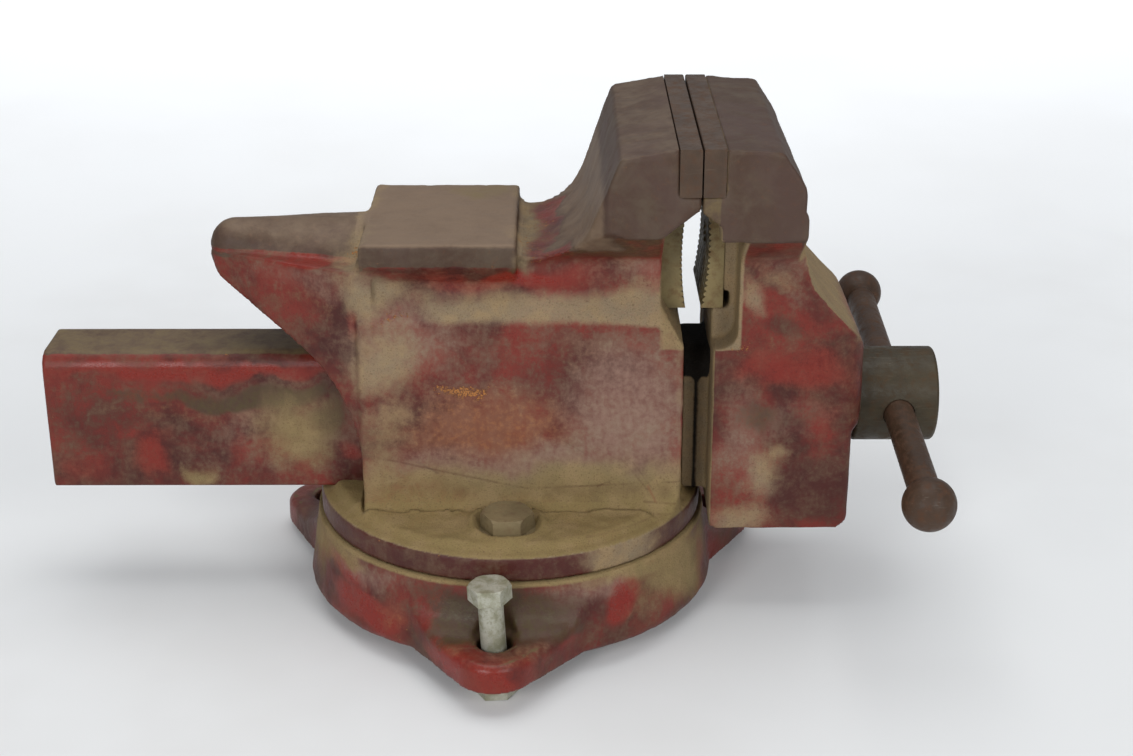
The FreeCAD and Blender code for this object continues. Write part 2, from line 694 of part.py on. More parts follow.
def pipe_jaw(back_x, face):
    """A curved jaw with cross teeth. face holds the places of its top lip, its waist and its foot lip."""
    lip_x, waist_x, foot_x = face
    top_z = block_foot_z - joint_gap
    side_y = -pipe_jaw_half
    curve = Part.Arc(V(foot_x, side_y, pipe_jaw_z0), V(waist_x, side_y, pipe_waist_z),
                     V(lip_x, side_y, top_z))
    corners = [V(lip_x, side_y, top_z), V(back_x, side_y, top_z), V(back_x, side_y, pipe_jaw_z0),
               V(foot_x, side_y, pipe_jaw_z0)]
    straights = [Part.LineSegment(a, b).toShape() for a, b in zip(corners, corners[1:])]
    jaw = Part.Face(Part.Wire([curve.toShape()] + straights)).extrude(V(0, 2 * pipe_jaw_half, 0))
    out = 1.0 if waist_x > back_x else -1.0
    half = pipe_tooth_pitch * pipe_tooth_share / 2
    for i in range(int(curve.length() / pipe_tooth_pitch) - 1):
        at = curve.value(curve.parameterAtDistance(pipe_tooth_pitch * (i + 1), curve.FirstParameter))
        mouth_x = at.x + out * pipe_tooth_lead
        root_x = at.x - out * pipe_tooth_depth
        notch = Part.makePolygon([V(mouth_x, at.y - past, at.z - half), V(mouth_x, at.y - past, at.z + half),
                                  V(root_x, at.y - past, at.z), V(mouth_x, at.y - past, at.z - half)])
        jaw = jaw.cut(Part.Face(notch).extrude(V(0, 2 * (pipe_jaw_half + past), 0)))
    outside_x = waist_x + out * pipe_head_r
    jaw = jaw.cut(span_rod(pipe_screw_r + bolt_clearance, back_x - out, outside_x, 0, pipe_screw_z))
    seat_x = pipe_head_x(back_x, waist_x) - out * pipe_head_depth
    return jaw.cut(span_rod(pipe_head_r + bolt_clearance, seat_x, outside_x, 0, pipe_screw_z))


def pipe_head_x(back_x, waist_x):
    """Outer end of the screw's head, which lies under the roots of the teeth."""
    out = 1.0 if waist_x > back_x else -1.0
    return waist_x - out * (pipe_tooth_depth + pipe_head_sunk)


def pipe_jaw_screw(back_x, face):
    inward = 1.0 if back_x > face[1] else -1.0
    tip_x = back_x + inward * pipe_screw_reach
    sizes = (pipe_head_r, pipe_head_depth, pipe_socket_af, pipe_socket_depth, pipe_screw_r - joint_gap, tip_x)
    return socket_screw(pipe_head_x(back_x, face[1]), inward, 0, pipe_screw_z, sizes)


# Drive nut

def nut_screw_places():
    return [nut_x0 + nut_screw_inset, nut_x1 - nut_screw_inset]


def screw_nut():
    outline = [(nut_half, tunnel_z0), (nut_half, nut_top_z, nut_edge_r)]
    block = front_profile(outline, nut_x0, nut_x1)
    block = block.cut(span_rod(screw_r + running_fit, nut_x0 - past, nut_x1 + past, 0, screw_z))
    for x in nut_screw_places():
        block = block.cut(rod(nut_screw_r, V(x, 0, tunnel_z0 - past), Z_AXIS, nut_screw_hole + past))
    return block


def nut_screws():
    screws = []
    head_z0 = nut_screw_seat_z - nut_screw_head_h
    for x in nut_screw_places():
        head = rod(nut_screw_head_r, V(x, 0, head_z0), Z_AXIS, nut_screw_head_h)
        head = head.cut(hex_prism(nut_socket_af, nut_socket_depth + past, V(x, 0, head_z0 - past)))
        shank = rod(nut_screw_r - joint_gap, V(x, 0, nut_screw_seat_z), Z_AXIS,
                    tunnel_z0 + nut_screw_reach - nut_screw_seat_z)
        screws.append(fuse(head, shank))
    return Part.makeCompound(screws)


# Swivel lock bolts

def lock_washer(y):
    washer = rod(lock_washer_r, V(0, y, flange_z1), Z_AXIS, lock_washer_t)
    return washer.cut(rod(lock_bolt_r + running_fit, V(0, y, flange_z1 - past), Z_AXIS,
                          lock_washer_t + 2 * past))


def lock_bolt(y):
    head_z = flange_z1 + lock_washer_t
    foot_z = chamber_z1 - clamp_t - lock_bolt_below_nut
    shank = rod(lock_bolt_r, V(0, y, foot_z), Z_AXIS, head_z - foot_z)
    return fuse(shank, hex_prism(lock_head_af, lock_head_h, V(0, y, head_z)))


def clamp_nut(y):
    """A square nut that hangs in the T slot and pulls up against its lips."""
    half = clamp_side / 2
    top_z = chamber_z1 - joint_gap
    foot_z = top_z - clamp_t
    block = box(-half, half, y - half, y + half, foot_z, top_z)
    block = block.common(ring(slot_pitch_r, slot_chamber - 2 * clamp_play, foot_z, top_z))
    return block.cut(rod(lock_bolt_r + running_fit, V(0, y, foot_z - past), Z_AXIS, clamp_t + 2 * past))


# Moving jaw

def jaw_casting():
    """The moving jaw below its block: upright front, a shoulder for the screw, and a neck."""
    front = [(jaw_rear_x, jaw_foot_z, jaw_foot_rear_r), (jaw_front_x, jaw_foot_z, jaw_foot_front_r),
             (jaw_front_x, jaw_ledge_z, jaw_ledge_r),
             (jaw_shoulder_x, jaw_ledge_z + jaw_ledge_rise, jaw_ledge_r),
             (jaw_shoulder_x, jaw_brow_z, jaw_brow_r), (jaw_waist_x, jaw_waist_z, jaw_waist_r),
             (jaw_nape_x, jaw_nape_z), (jaw_nape_x, jaw_neck_top_z), (jaw_rear_x, jaw_neck_top_z)]
    casting = side_profile(front, jaw_side_half)
    plan = [(jaw_rear_x, -jaw_side_half), (jaw_shoulder_x, -jaw_side_half, jaw_corner_r),
            (jaw_shoulder_x, jaw_side_half, jaw_corner_r), (jaw_rear_x, jaw_side_half)]
    casting = casting.common(plan_profile(plan, jaw_foot_z, jaw_neck_top_z))
    neck_side = [(jaw_rear_x, jaw_neck_foot_z), (jaw_nape_x, jaw_neck_foot_z), (jaw_nape_x, jaw_neck_top_z),
                 (jaw_rear_x, jaw_neck_top_z)]
    neck_front = [(jaw_side_half, jaw_neck_foot_z), (jaw_side_half, jaw_neck_flare_z, jaw_neck_hollow_r),
                  (jaw_half, block_foot_z), (jaw_half, jaw_neck_top_z)]
    neck = side_profile(neck_side, wide).common(front_profile(neck_front, jaw_rear_x, jaw_nape_x))
    bearing = span_rod(bearing_face_r, jaw_wall_x, bearing_face_x, 0, screw_z)
    return fuse(casting, neck, bearing, moving_jaw_block())


def moving_jaw_block():
    foot_z = block_foot_z - moving_block_drop
    corners = [(moving_face_x, plate_z0), (moving_face_x, under_rise_z - moving_block_drop),
               (moving_under_x, foot_z, under_r), (moving_jaw_rear_x, foot_z, jaw_end_low_r),
               (moving_jaw_rear_x, jaw_end_high_z, jaw_end_high_r),
               (moving_jaw_top_x, jaw_top_z - moving_jaw_top_drop, jaw_top_corner_r),
               (moving_seat_x, jaw_top_z - jaw_top_step), (moving_seat_x, plate_z0)]
    return side_profile(corners, jaw_half)


def cut_pipe_seat(casting):
    """Seat of the moving pipe jaw, with a relief at its foot, and the recesses in the cheeks beside it."""
    out_x = moving_face_x
    seat_half = pipe_jaw_half + joint_gap
    seat_z0 = pipe_jaw_z0 - joint_gap
    top_z = block_foot_z - moving_block_drop
    seat = box(out_x, pipe_jaw_back_moving, -seat_half, seat_half, seat_z0, block_foot_z)
    relief = box(out_x, pipe_jaw_back_moving + seat_relief, -seat_half, seat_half, seat_z0,
                 seat_z0 + seat_relief_height)
    cheeks = side_profile([(out_x, seat_ledge_z), (cheek_wall_x, seat_ledge_z, cheek_wall_r),
                           (cheek_wall_x, top_z), (out_x, top_z)], wide)
    cheeks = cheeks.cut(box(out_x - past, cheek_wall_x + past, -seat_half, seat_half, seat_ledge_z - past,
                            top_z + past))
    return casting.cut(cheeks).cut(seat).cut(relief)


def hollow_beam():
    """The beam, open underneath and at the rear. Next to the jaw, outside the housing, it is thicker."""
    beam = front_profile(beam_section(0.0, beam_z0), beam_rear_x, jaw_rear_x + past)
    root = front_profile(beam_section(beam_root_rise, beam_z0), beam_root_x, jaw_rear_x + past)
    return beam.fuse(root)


def moving_jaw():
    casting = cut_pipe_seat(jaw_casting()).fuse(hollow_beam())
    channel = front_profile([(channel_half, beam_z0 - past), (channel_half, channel_z1, pocket_r)],
                            beam_rear_x - past, jaw_rear_x)
    pocket_z0 = screw_z - pocket_below
    pocket = front_profile([(channel_half, pocket_z0, pocket_r), (channel_half, channel_z1, pocket_r)],
                           jaw_rear_x - past, jaw_wall_x)
    # the bearing face is cut back into the shoulder
    spot = span_rod(bearing_face_r, bearing_face_x, jaw_shoulder_x + past, 0, screw_z)
    bore = span_rod(journal_r + running_fit, jaw_wall_x - past, jaw_shoulder_x + past, 0, screw_z)
    casting = casting.cut(channel).cut(pocket).cut(spot).cut(bore)
    plate_hole_x1 = moving_seat_x + plate_hole_depth
    for y in plate_screw_places():
        casting = casting.cut(span_rod(plate_screw_r, moving_seat_x - past, plate_hole_x1, y, plate_screw_z))
    pipe_hole_x1 = pipe_jaw_back_moving + pipe_hole_depth
    casting = casting.cut(span_rod(pipe_screw_r, pipe_jaw_back_moving - past, pipe_hole_x1, 0, pipe_screw_z))
    return casting.removeSplitter()


# Main screw and what holds it lengthwise

def thread_rings():
    """The threaded length as a turned bar with one ring per turn. Crests, flanks and roots are full size."""
    root_r = screw_r - thread_depth
    crest = screw_pitch * thread_crest_share
    flank = screw_pitch * thread_flank_share
    length = collar_x0 - thread_runout - screw_tip_x
    turns = int((length - crest) / screw_pitch)
    points = [V(screw_tip_x, 0, 0), V(screw_tip_x, 0, root_r)]
    for i in range(turns):
        x = screw_tip_x + i * screw_pitch + crest / 2
        points += [V(x, 0, root_r), V(x + flank, 0, screw_r), V(x + flank + crest, 0, screw_r),
                   V(x + 2 * flank + crest, 0, root_r)]
    plain_x = screw_tip_x + turns * screw_pitch + crest / 2 + flank
    points += [V(plain_x, 0, screw_r), V(jaw_wall_x, 0, screw_r), V(jaw_wall_x, 0, 0), points[0]]
    turned = Part.Face(Part.makePolygon(points)).revolve(V(0, 0, 0), X_AXIS, 360)
    turned.translate(V(0, 0, screw_z))
    return turned


def main_screw():
    hub = span_rod(hub_r, hub_x0, hub_x0 + hub_length, 0, screw_z)
    hub = hub.makeFillet(hub_edge_r, [e for e in hub.Edges if e.BoundBox.XLength < near])
    screw = fuse(hub, span_rod(journal_r, jaw_wall_x, hub_x0 + past, 0, screw_z), thread_rings())
    bar_hole = rod(bar_r + bar_hole_gap, bar_centre - bar_axis * 2 * hub_r, bar_axis, 4 * hub_r)
    return screw.cut(bar_hole).cut(pin_rod(2 * collar_r))


def thrust_washer():
    washer = span_rod(thrust_washer_r, bearing_face_x, hub_x0, 0, screw_z)
    return washer.cut(span_rod(journal_r + running_fit, bearing_face_x - past, hub_x0 + past, 0, screw_z))


def pin_rod(half_length):
    """A rod across the screw at the middle of its collar."""
    return rod(collar_pin_r, V((collar_x0 + collar_x1) / 2, -half_length, screw_z), Y_AXIS, 2 * half_length)


def screw_collar():
    collar = span_rod(collar_r, collar_x0, collar_x1, 0, screw_z)
    collar = collar.cut(span_rod(screw_r + running_fit, collar_x0 - past, collar_x1 + past, 0, screw_z))
    return collar.cut(pin_rod(2 * collar_r))


def collar_pin():
    return pin_rod(collar_r - collar_pin_inset)


# Handle

def handle_bar():
    start = bar_centre + bar_axis * near_ball_at
    full = far_ball_at - near_ball_at
    shoulder = ball_r - ball_seat
    grip = rod(bar_r, start + bar_axis * shoulder, bar_axis, full - 2 * shoulder)
    return fuse(rod(bar_spigot_r, start, bar_axis, full), grip)


def handle_ball(at, towards_middle):
    """A ball pressed on the bar's spigot. towards_middle is +1 or -1 along the bar."""
    centre = bar_centre + bar_axis * at
    inward = bar_axis * towards_middle
    ball = Part.makeSphere(ball_r, centre)
    ball = ball.cut(rod(bar_spigot_r, centre, inward, 2 * ball_r))
    return ball.cut(rod(bar_r, centre + inward * (ball_r - ball_seat), inward, ball_r))


def pieces():
    return {
        "swivel_base": swivel_base(),
        "mounting_bolt": mounting_bolt(),
        "mounting_nut": mounting_nut(),
        "vise_body": vise_body(),
        "static_jaw_plate": jaw_plate(static_face_x, -1),
        "static_plate_screws": plate_screws(static_face_x, -1),
        "static_pipe_jaw": pipe_jaw(pipe_jaw_back_static, static_pipe_face),
        "static_pipe_jaw_screw": pipe_jaw_screw(pipe_jaw_back_static, static_pipe_face),
        "screw_nut": screw_nut(),
        "nut_screws": nut_screws(),
        "front_lock_bolt": lock_bolt(-slot_pitch_r),
        "front_lock_washer": lock_washer(-slot_pitch_r),
        "front_clamp_nut": clamp_nut(-slot_pitch_r),
        "rear_lock_bolt": lock_bolt(slot_pitch_r),
        "rear_lock_washer": lock_washer(slot_pitch_r),
        "rear_clamp_nut": clamp_nut(slot_pitch_r),
        "moving_jaw": moving_jaw(),
        "moving_jaw_plate": jaw_plate(moving_face_x, 1),
        "moving_plate_screws": plate_screws(moving_face_x, 1),
        "moving_pipe_jaw": pipe_jaw(pipe_jaw_back_moving, moving_pipe_face),
        "moving_pipe_jaw_screw": pipe_jaw_screw(pipe_jaw_back_moving, moving_pipe_face),
        "main_screw": main_screw(),
        "thrust_washer": thrust_washer(),
        "screw_collar": screw_collar(),
        "collar_pin": collar_pin(),
        "handle_bar": handle_bar(),
        "near_handle_ball": handle_ball(near_ball_at, 1),
        "far_handle_ball": handle_ball(far_ball_at, -1),
    }


def main():
    os.makedirs("parts", exist_ok=True)
    for name, shape in pieces().items():
        solids = len(shape.Solids)
        print(f"{name}: {solids} solid(s), {shape.Volume / 1000:.1f} cm3, valid {shape.isValid()}")
        shape.exportStep(f"parts/{name}.step")


main()
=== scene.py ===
"""Looks of the combination bench vise: worn red castings, bare dark jaws, a rusty handle, dirt and dust.

The frame is the CAD's: +X points from the horn to the handle, +Z is up, and the origin is on the swivel axis
in the plane of the base's rim. Objects, lamps and the camera are placed in metres. Places, sizes and heights
of paint, dirt and lumps are in millimetres.
"""
import math

import bpy
import numpy as np
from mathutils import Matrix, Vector, noise


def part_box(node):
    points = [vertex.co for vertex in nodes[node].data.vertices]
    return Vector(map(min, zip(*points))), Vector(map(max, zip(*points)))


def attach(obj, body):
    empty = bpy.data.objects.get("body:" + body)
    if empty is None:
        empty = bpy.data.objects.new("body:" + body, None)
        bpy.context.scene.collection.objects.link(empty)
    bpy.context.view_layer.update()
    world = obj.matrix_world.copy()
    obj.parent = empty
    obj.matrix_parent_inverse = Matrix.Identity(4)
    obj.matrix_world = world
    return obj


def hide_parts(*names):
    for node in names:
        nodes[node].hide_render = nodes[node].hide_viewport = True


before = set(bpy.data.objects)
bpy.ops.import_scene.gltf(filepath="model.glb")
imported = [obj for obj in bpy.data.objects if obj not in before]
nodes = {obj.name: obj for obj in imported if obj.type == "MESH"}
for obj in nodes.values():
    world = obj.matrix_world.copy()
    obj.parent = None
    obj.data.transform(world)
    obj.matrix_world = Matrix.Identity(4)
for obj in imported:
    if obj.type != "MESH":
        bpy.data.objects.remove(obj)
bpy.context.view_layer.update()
scene = bpy.context.scene
MM = 0.001

# Without a seed, noise_vector takes its offsets from the clock, and each run would differ
noise.seed_set(1)

# Camera: it looks down on the side of the vise from a little over a metre away
camera_place = Vector((0.0265, -0.9432, 0.4944))
camera_down = math.radians(22.21)
camera_turn = math.radians(-0.23)
camera_lens = 60.79
camera_film = 36

# Floor: the vise leans back on the nut under its front lug and on the rear of the base's rim
nut_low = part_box("mounting_nut")[0]
rim_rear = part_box("swivel_base")[1].y
floor_near, floor_far, floor_half = -2.0, 4.0, 4.0

# Flange of the body, which carries the lock bolts, in millimetres
flange_top_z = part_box("front_lock_washer")[0].z / MM
lock_bolt_y = -(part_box("front_lock_bolt")[0].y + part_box("front_lock_bolt")[1].y) / 2 / MM
washer_clear_r = 14.2
cake_edge_r = 98
cake_height = 3.6

# How far a patch of paint reaches along Y to run through the whole piece, in millimetres
body_through = 90
jaw_through = 80
beam_through = 40


# Mesh work

def new_object(name, mesh):
    made = bpy.data.objects.new(name, mesh)
    scene.collection.objects.link(made)
    return made


def read_points(mesh):
    points = np.empty(len(mesh.vertices) * 3, np.float32)
    mesh.vertices.foreach_get("co", points)
    return points.reshape(-1, 3).astype(float)


def read_normals(mesh):
    normals = np.empty(len(mesh.vertices) * 3, np.float32)
    mesh.vertex_normals.foreach_get("vector", normals)
    return normals.reshape(-1, 3).astype(float)


def read_edges(mesh):
    edges = np.empty(len(mesh.edges) * 2, np.int32)
    mesh.edges.foreach_get("vertices", edges)
    return edges.reshape(-1, 2)


def write_points(mesh, points):
    mesh.vertices.foreach_set("co", points.astype(np.float32).ravel())
    mesh.update()


def neighbour_mean(values, edges):
    """The mean of each vertex's neighbours, for one value or several per vertex."""
    count = np.bincount(edges.ravel(), minlength=len(values))
    columns = values.reshape(len(values), -1)
    sums = np.empty_like(columns)
    for i in range(columns.shape[1]):
        ends = columns[:, i]
        sums[:, i] = np.bincount(edges[:, 0], ends[edges[:, 1]], len(values))
        sums[:, i] += np.bincount(edges[:, 1], ends[edges[:, 0]], len(values))
    return (sums / np.maximum(count, 1)[:, None]).reshape(values.shape)


def smooth(points, edges, rounds):
    """Softens edges and steps. Each pull in is followed by a slightly larger push out, or it would shrink."""
    pull, push = 0.5, 0.52
    for _ in range(rounds):
        points = points + pull * (neighbour_mean(points, edges) - points)
        points = points - push * (neighbour_mean(points, edges) - points)
    return points


def bulge(points, normals, edges, rounds, span):
    """How far each vertex stands out of its surroundings, from -1 in a hollow to 1 on an edge. The rounds say
    how wide the surroundings are, and span is the height that counts as 1."""
    around = points
    for _ in range(rounds):
        around = neighbour_mean(around, edges)
    height = np.einsum("ij,ij->i", points - around, normals)
    return np.clip(height / (span * MM), -1, 1)


def lumps(points, size, seed):
    """Smooth noise from about -1 to 1 with lumps of that size."""
    fade, finer, octaves = 1.0, 2.0, 3
    shift = Vector((seed * 1.7, seed * -2.3, seed * 0.9))
    scale = 1 / (size * MM)
    return np.array([noise.fractal(Vector(p) * scale + shift, fade, finer, octaves) for p in points])


def wander(points, size, reach, seed):
    """The points shifted by smooth noise, up to the reach and in waves of that size."""
    shift = Vector((seed * 2.1, seed * 0.7, seed * -1.9))
    scale = 1 / (size * MM)
    return points + reach * MM * np.array([noise.noise_vector(Vector(p) * scale + shift) for p in points])


def stray(points, size, seed):
    """The points shifted in wide and in narrow waves, so that paint put on by place gets an uneven border."""
    return wander(wander(points, size, 9, seed), 8, 3, seed + 1)


def rise(values, low, high):
    """0 below low, 1 above high and smooth between them."""
    t = np.clip((values - low) / (high - low), 0, 1)
    return t * t * (3 - 2 * t)


def fall(values, low, high):
    """1 below low, 0 above high and smooth between them."""
    return 1 - rise(values, low, high)


def between(values, low, high):
    return (values > low) & (values < high)


def patch(points, centre, size):
    """1 inside an ellipsoid with those half axes, fading to 0 round its surface."""
    fade = 0.75
    away = np.linalg.norm((points / MM - np.array(centre, float)) / np.array(size, float), axis=1)
    return fall(away, 1 - fade, 1 + fade)


def patches(points, rows):
    """The strongest of several patches. Each row is (centre, size, strength)."""
    total = np.zeros(len(points))
    for centre, size, strength in rows:
        total = np.maximum(total, strength * patch(points, centre, size))
    return total


def through(reach, *rows):
    """Rows for patches that run through a piece along Y, each given as (x, z, width, height, strength)."""
    return [((x, 0, z), (width, reach, height), strength) for x, z, width, height, strength in rows]


def set_mask(mesh, name, values):
    layer = mesh.attributes.new(name, "FLOAT", "POINT")
    layer.data.foreach_set("value", np.asarray(values, np.float32))


def remeshed(node, voxel):
    """An even mesh of a CAD node's shape, with its corners a voxel round."""
    copy = new_object("work", nodes[node].data.copy())
    remesh = copy.modifiers.new("remesh", "REMESH")
    remesh.mode = "VOXEL"
    remesh.voxel_size = voxel * MM
    remesh.use_smooth_shade = True
    view = bpy.context.evaluated_depsgraph_get()
    mesh = bpy.data.meshes.new_from_object(copy.evaluated_get(view))
    bpy.data.objects.remove(copy)
    mesh.materials.clear()
    return mesh


def casting(node, voxel, rounds, lump, seed, rough):
    """A cast surface: rounded corners and low lumps. lump is their height, and rough gives each point's share
    of it, 0 where the piece is machined. Returns the mesh with its points and normals."""
    mesh = remeshed(node, voxel)
    edges = read_edges(mesh)
    points = smooth(read_points(mesh), edges, rounds)
    write_points(mesh, points)
    waves = 0.75 * lumps(points, 26, seed) + 0.25 * lumps(points, 9, seed + 5)
    pits = 0.4 * rise(lumps(points, 12, seed + 9), 0.25, 0.6)
    points = points + read_normals(mesh) * (rough(points) * (waves - pits) * lump * MM)[:, None]
    write_points(mesh, points)
    normals = read_normals(mesh)
    set_mask(mesh, "edge", bulge(points, normals, edges, rounds=6, span=0.45))
    set_mask(mesh, "form", bulge(points, normals, edges, rounds=40, span=2.2))
    return mesh, points, normals


def stand_in(node, body, mesh, material):
    """The finished mesh takes the CAD node's place, and stays inside its box."""
    low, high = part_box(node)
    write_points(mesh, np.clip(read_points(mesh), np.array(low), np.array(high)))
    mesh.polygons.foreach_set("use_smooth", np.ones(len(mesh.polygons), bool))
    mesh.materials.append(material)
    made = new_object(node + "_look", mesh)
    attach(made, body)
    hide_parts(node)


# Node materials

class Finish:
    """A node material, built a call at a time. Sizes are in millimetres."""

    def __init__(self, name):
        self.material = bpy.data.materials.new(name)
        self.material.use_nodes = True
        self.tree = self.material.node_tree
        self.tree.nodes.clear()
        place = self.tree.nodes.new("ShaderNodeTexCoord").outputs["Object"]
        self.place = self.vector("MULTIPLY", place, (1 / MM, 1 / MM, 1 / MM))

    def put(self, socket, value):
        if isinstance(value, bpy.types.NodeSocket):
            self.tree.links.new(value, socket)
        elif hasattr(value, "__len__") and len(value) == 3 and socket.type == "RGBA":
            socket.default_value = (*value, 1)
        else:
            socket.default_value = value

    def vector_node(self, operation, a, b):
        node = self.tree.nodes.new("ShaderNodeVectorMath")
        node.operation = operation
        self.put(node.inputs[0], a)
        self.put(node.inputs[1], b)
        return node

    def vector(self, operation, a, b):
        return self.vector_node(operation, a, b).outputs["Vector"]

    def measure(self, operation, a, b=(0, 0, 0)):
        """A number worked out from vectors."""
        return self.vector_node(operation, a, b).outputs["Value"]

    def maths(self, operation, a, b=0.0, clamp=False):
        node = self.tree.nodes.new("ShaderNodeMath")
        node.operation = operation
        node.use_clamp = clamp
        self.put(node.inputs[0], a)
        self.put(node.inputs[1], b)
        return node.outputs[0]

    def add(self, *values):
        total = values[0]
        for value in values[1:]:
            total = self.maths("ADD", total, value)
        return total

    def times(self, a, b):
        return self.maths("MULTIPLY", a, b)

    def ramp(self, value, low, high):
        """0 below low, 1 above high and smooth between them."""
        node = self.tree.nodes.new("ShaderNodeMapRange")
        node.interpolation_type = "SMOOTHSTEP"
        self.put(node.inputs["Value"], value)
        node.inputs["From Min"].default_value = low
        node.inputs["From Max"].default_value = high
        return node.outputs["Result"]

    def noise(self, size, detail, roughness, seed, stretch=(1, 1, 1), warp=0.0):
        """Noise about 0.5 with that size, longer along an axis whose stretch is over 1."""
        where = self.vector("DIVIDE", self.place, tuple(size * s for s in stretch))
        where = self.vector("ADD", where, (seed * 3.1, seed * 1.7, seed * -2.3))
        node = self.tree.nodes.new("ShaderNodeTexNoise")
        self.put(node.inputs["Vector"], where)
        node.inputs["Scale"].default_value = 1.0
        node.inputs["Detail"].default_value = detail
        node.inputs["Roughness"].default_value = roughness
        node.inputs["Distortion"].default_value = warp
        return node.outputs["Fac"]

    def mask(self, name):
        node = self.tree.nodes.new("ShaderNodeAttribute")
        node.attribute_name = name
        return node.outputs["Fac"]

    def line(self, start, end, width):
        """1 on a thin straight line between two places in X and Z, 0 beside it."""
        along = (end[0] - start[0], 0, end[1] - start[1])
        flat = self.vector("MULTIPLY", self.place, (1, 0, 1))
        here = self.vector("SUBTRACT", flat, (start[0], 0, start[1]))
        length = sum(v * v for v in along)
        share = self.maths("DIVIDE", self.measure("DOT_PRODUCT", here, along), length, clamp=True)
        nearest = self.tree.nodes.new("ShaderNodeVectorMath")
        nearest.operation = "SCALE"
        nearest.inputs[0].default_value = along
        self.put(nearest.inputs["Scale"], share)
        away = self.measure("LENGTH", self.vector("SUBTRACT", here, nearest.outputs["Vector"]))
        return self.maths("SUBTRACT", 1.0, self.ramp(away, 0.2 * width, width))

    def torn(self, value, grain, low, high, amount):
        """A mask whose border is broken up by a grain: value and grain both run from 0 to 1."""
        shaken = self.add(value, self.times(self.maths("SUBTRACT", grain, 0.5), amount))
        return self.ramp(shaken, low, high)

    def mix(self, share, a, b):
        """A mix of two colours."""
        node = self.tree.nodes.new("ShaderNodeMix")
        node.data_type = "RGBA"
        self.put(node.inputs[0], share)
        self.put(node.inputs[6], a)
        self.put(node.inputs[7], b)
        return node.outputs[2]

    def blend(self, share, a, b):
        """A mix of two numbers."""
        node = self.tree.nodes.new("ShaderNodeMix")
        node.data_type = "FLOAT"
        self.put(node.inputs[0], share)
        self.put(node.inputs[2], a)
        self.put(node.inputs[3], b)
        return node.outputs[0]

    def finish(self, colour, roughness, bump, depth, metallic=0.0, specular=0.5):
        """The surface's shader. bump is a height from 0 to 1 that stands for the depth."""
        shader = self.tree.nodes.new("ShaderNodeBsdfPrincipled")
        self.put(shader.inputs["Base Color"], colour)
        self.put(shader.inputs["Roughness"], roughness)
        self.put(shader.inputs["Metallic"], metallic)
        shader.inputs["Specular IOR Level"].default_value = specular
        relief = self.tree.nodes.new("ShaderNodeBump")
        relief.inputs["Strength"].default_value = 1.0
        relief.inputs["Distance"].default_value = depth * MM
        self.put(relief.inputs["Height"], bump)
        self.put(shader.inputs["Normal"], relief.outputs[0])
        output = self.tree.nodes.new("ShaderNodeOutputMaterial")
        self.put(output.inputs["Surface"], shader.outputs[0])
        return self.material


# Colours, as named
paint_red = (0.170, 0.021, 0.013)
paint_fresh = (0.195, 0.017, 0.010)
paint_maroon = (0.052, 0.010, 0.007)
film_brown = (0.105, 0.054, 0.030)
film_grey = (0.115, 0.070, 0.042)
warm_brown = (0.20, 0.075, 0.038)
warm_orange = (0.29, 0.105, 0.036)
haze_pink = (0.260, 0.150, 0.114)
haze_grey = (0.245, 0.185, 0.130)
dust_tan = (0.310, 0.220, 0.115)
dust_grey = (0.250, 0.195, 0.122)
dirt_olive = (0.225, 0.165, 0.055)
grease_and_shade_olive = (0.066, 0.048, 0.018)
# dark olive brown of grease, also the tone of painted shade on down-facing faces and beside the body
iron_brown = (0.060, 0.032, 0.019)
iron_grey = (0.082, 0.055, 0.035)
iron_violet = (0.072, 0.040, 0.032)
iron_dusty = (0.190, 0.128, 0.082)
iron_olive = (0.165, 0.120, 0.046)
rust_orange = (0.45, 0.18, 0.04)
rust_brown = (0.115, 0.046, 0.020)
steel_bare = (0.34, 0.30, 0.24)
steel_dark = (0.045, 0.035, 0.026)
steel_jaw = (0.056, 0.034, 0.021)
steel_pipe_jaw = (0.17, 0.130, 0.058)
steel_screw = (0.034, 0.025, 0.012)
steel_handle = (0.042, 0.023, 0.013)
steel_dusty = (0.15, 0.115, 0.060)
zinc_dull = (0.26, 0.255, 0.17)
zinc_pale = (0.44, 0.435, 0.36)
zinc_dirty = (0.20, 0.19, 0.13)
# painted shade: near black for the gap between the castings and the body's tunnel
painted_gap_shade = (0.012, 0.009, 0.006)
floor_pale = (0.76, 0.77, 0.77)
floor_soiled = (0.72, 0.725, 0.72)
sky_white = (0.92, 0.95, 1.0, 1)
backdrop_white = (0.93, 0.96, 1.0, 1)


def old_red(f, broad, tear, fine, speck, fresh):
    """Red paint from maroon to fresh, under a thin film of brown dirt that spares the fresh paint. Returns
    the colour and the film's mask."""
    red = f.mix(f.ramp(broad, 0.36, 0.64), paint_maroon, paint_red)
    red = f.mix(fresh, red, paint_fresh)
    # darker maroon by its mask: maroon paint in places, painted shade and shadow in others
    red = f.mix(f.times(f.torn(f.mask("maroon_and_shade"), tear, 0.3, 0.8, 1.4), 0.85), red, paint_maroon)
    red = f.mix(f.times(f.ramp(speck, 0.48, 0.75), 0.4), red, paint_maroon)
    film = f.times(f.ramp(tear, 0.42, 0.62), f.blend(fresh, 0.6, 0.2))
    return f.mix(film, red, f.mix(f.ramp(fine, 0.4, 0.7), film_brown, film_grey)), film


def bare_iron(f, broad, cloud, tear, fine):
    """Iron where the paint has worn off: brown to violet, rusty in spots, dusty or olive by the masks."""
    iron = f.mix(f.ramp(cloud, 0.40, 0.66), iron_brown, iron_grey)
    iron = f.mix(f.times(f.ramp(broad, 0.45, 0.65), 0.6), iron, iron_violet)
    iron = f.mix(f.times(f.ramp(fine, 0.52, 0.75), 0.4), iron, rust_brown)
    iron = f.mix(f.torn(f.mask("haze"), tear, 0.1, 1.0, 1.0), iron, iron_dusty)
    return f.mix(f.times(f.torn(f.mask("olive"), tear, 0.4, 0.9, 1.4), 0.7), iron, iron_olive)


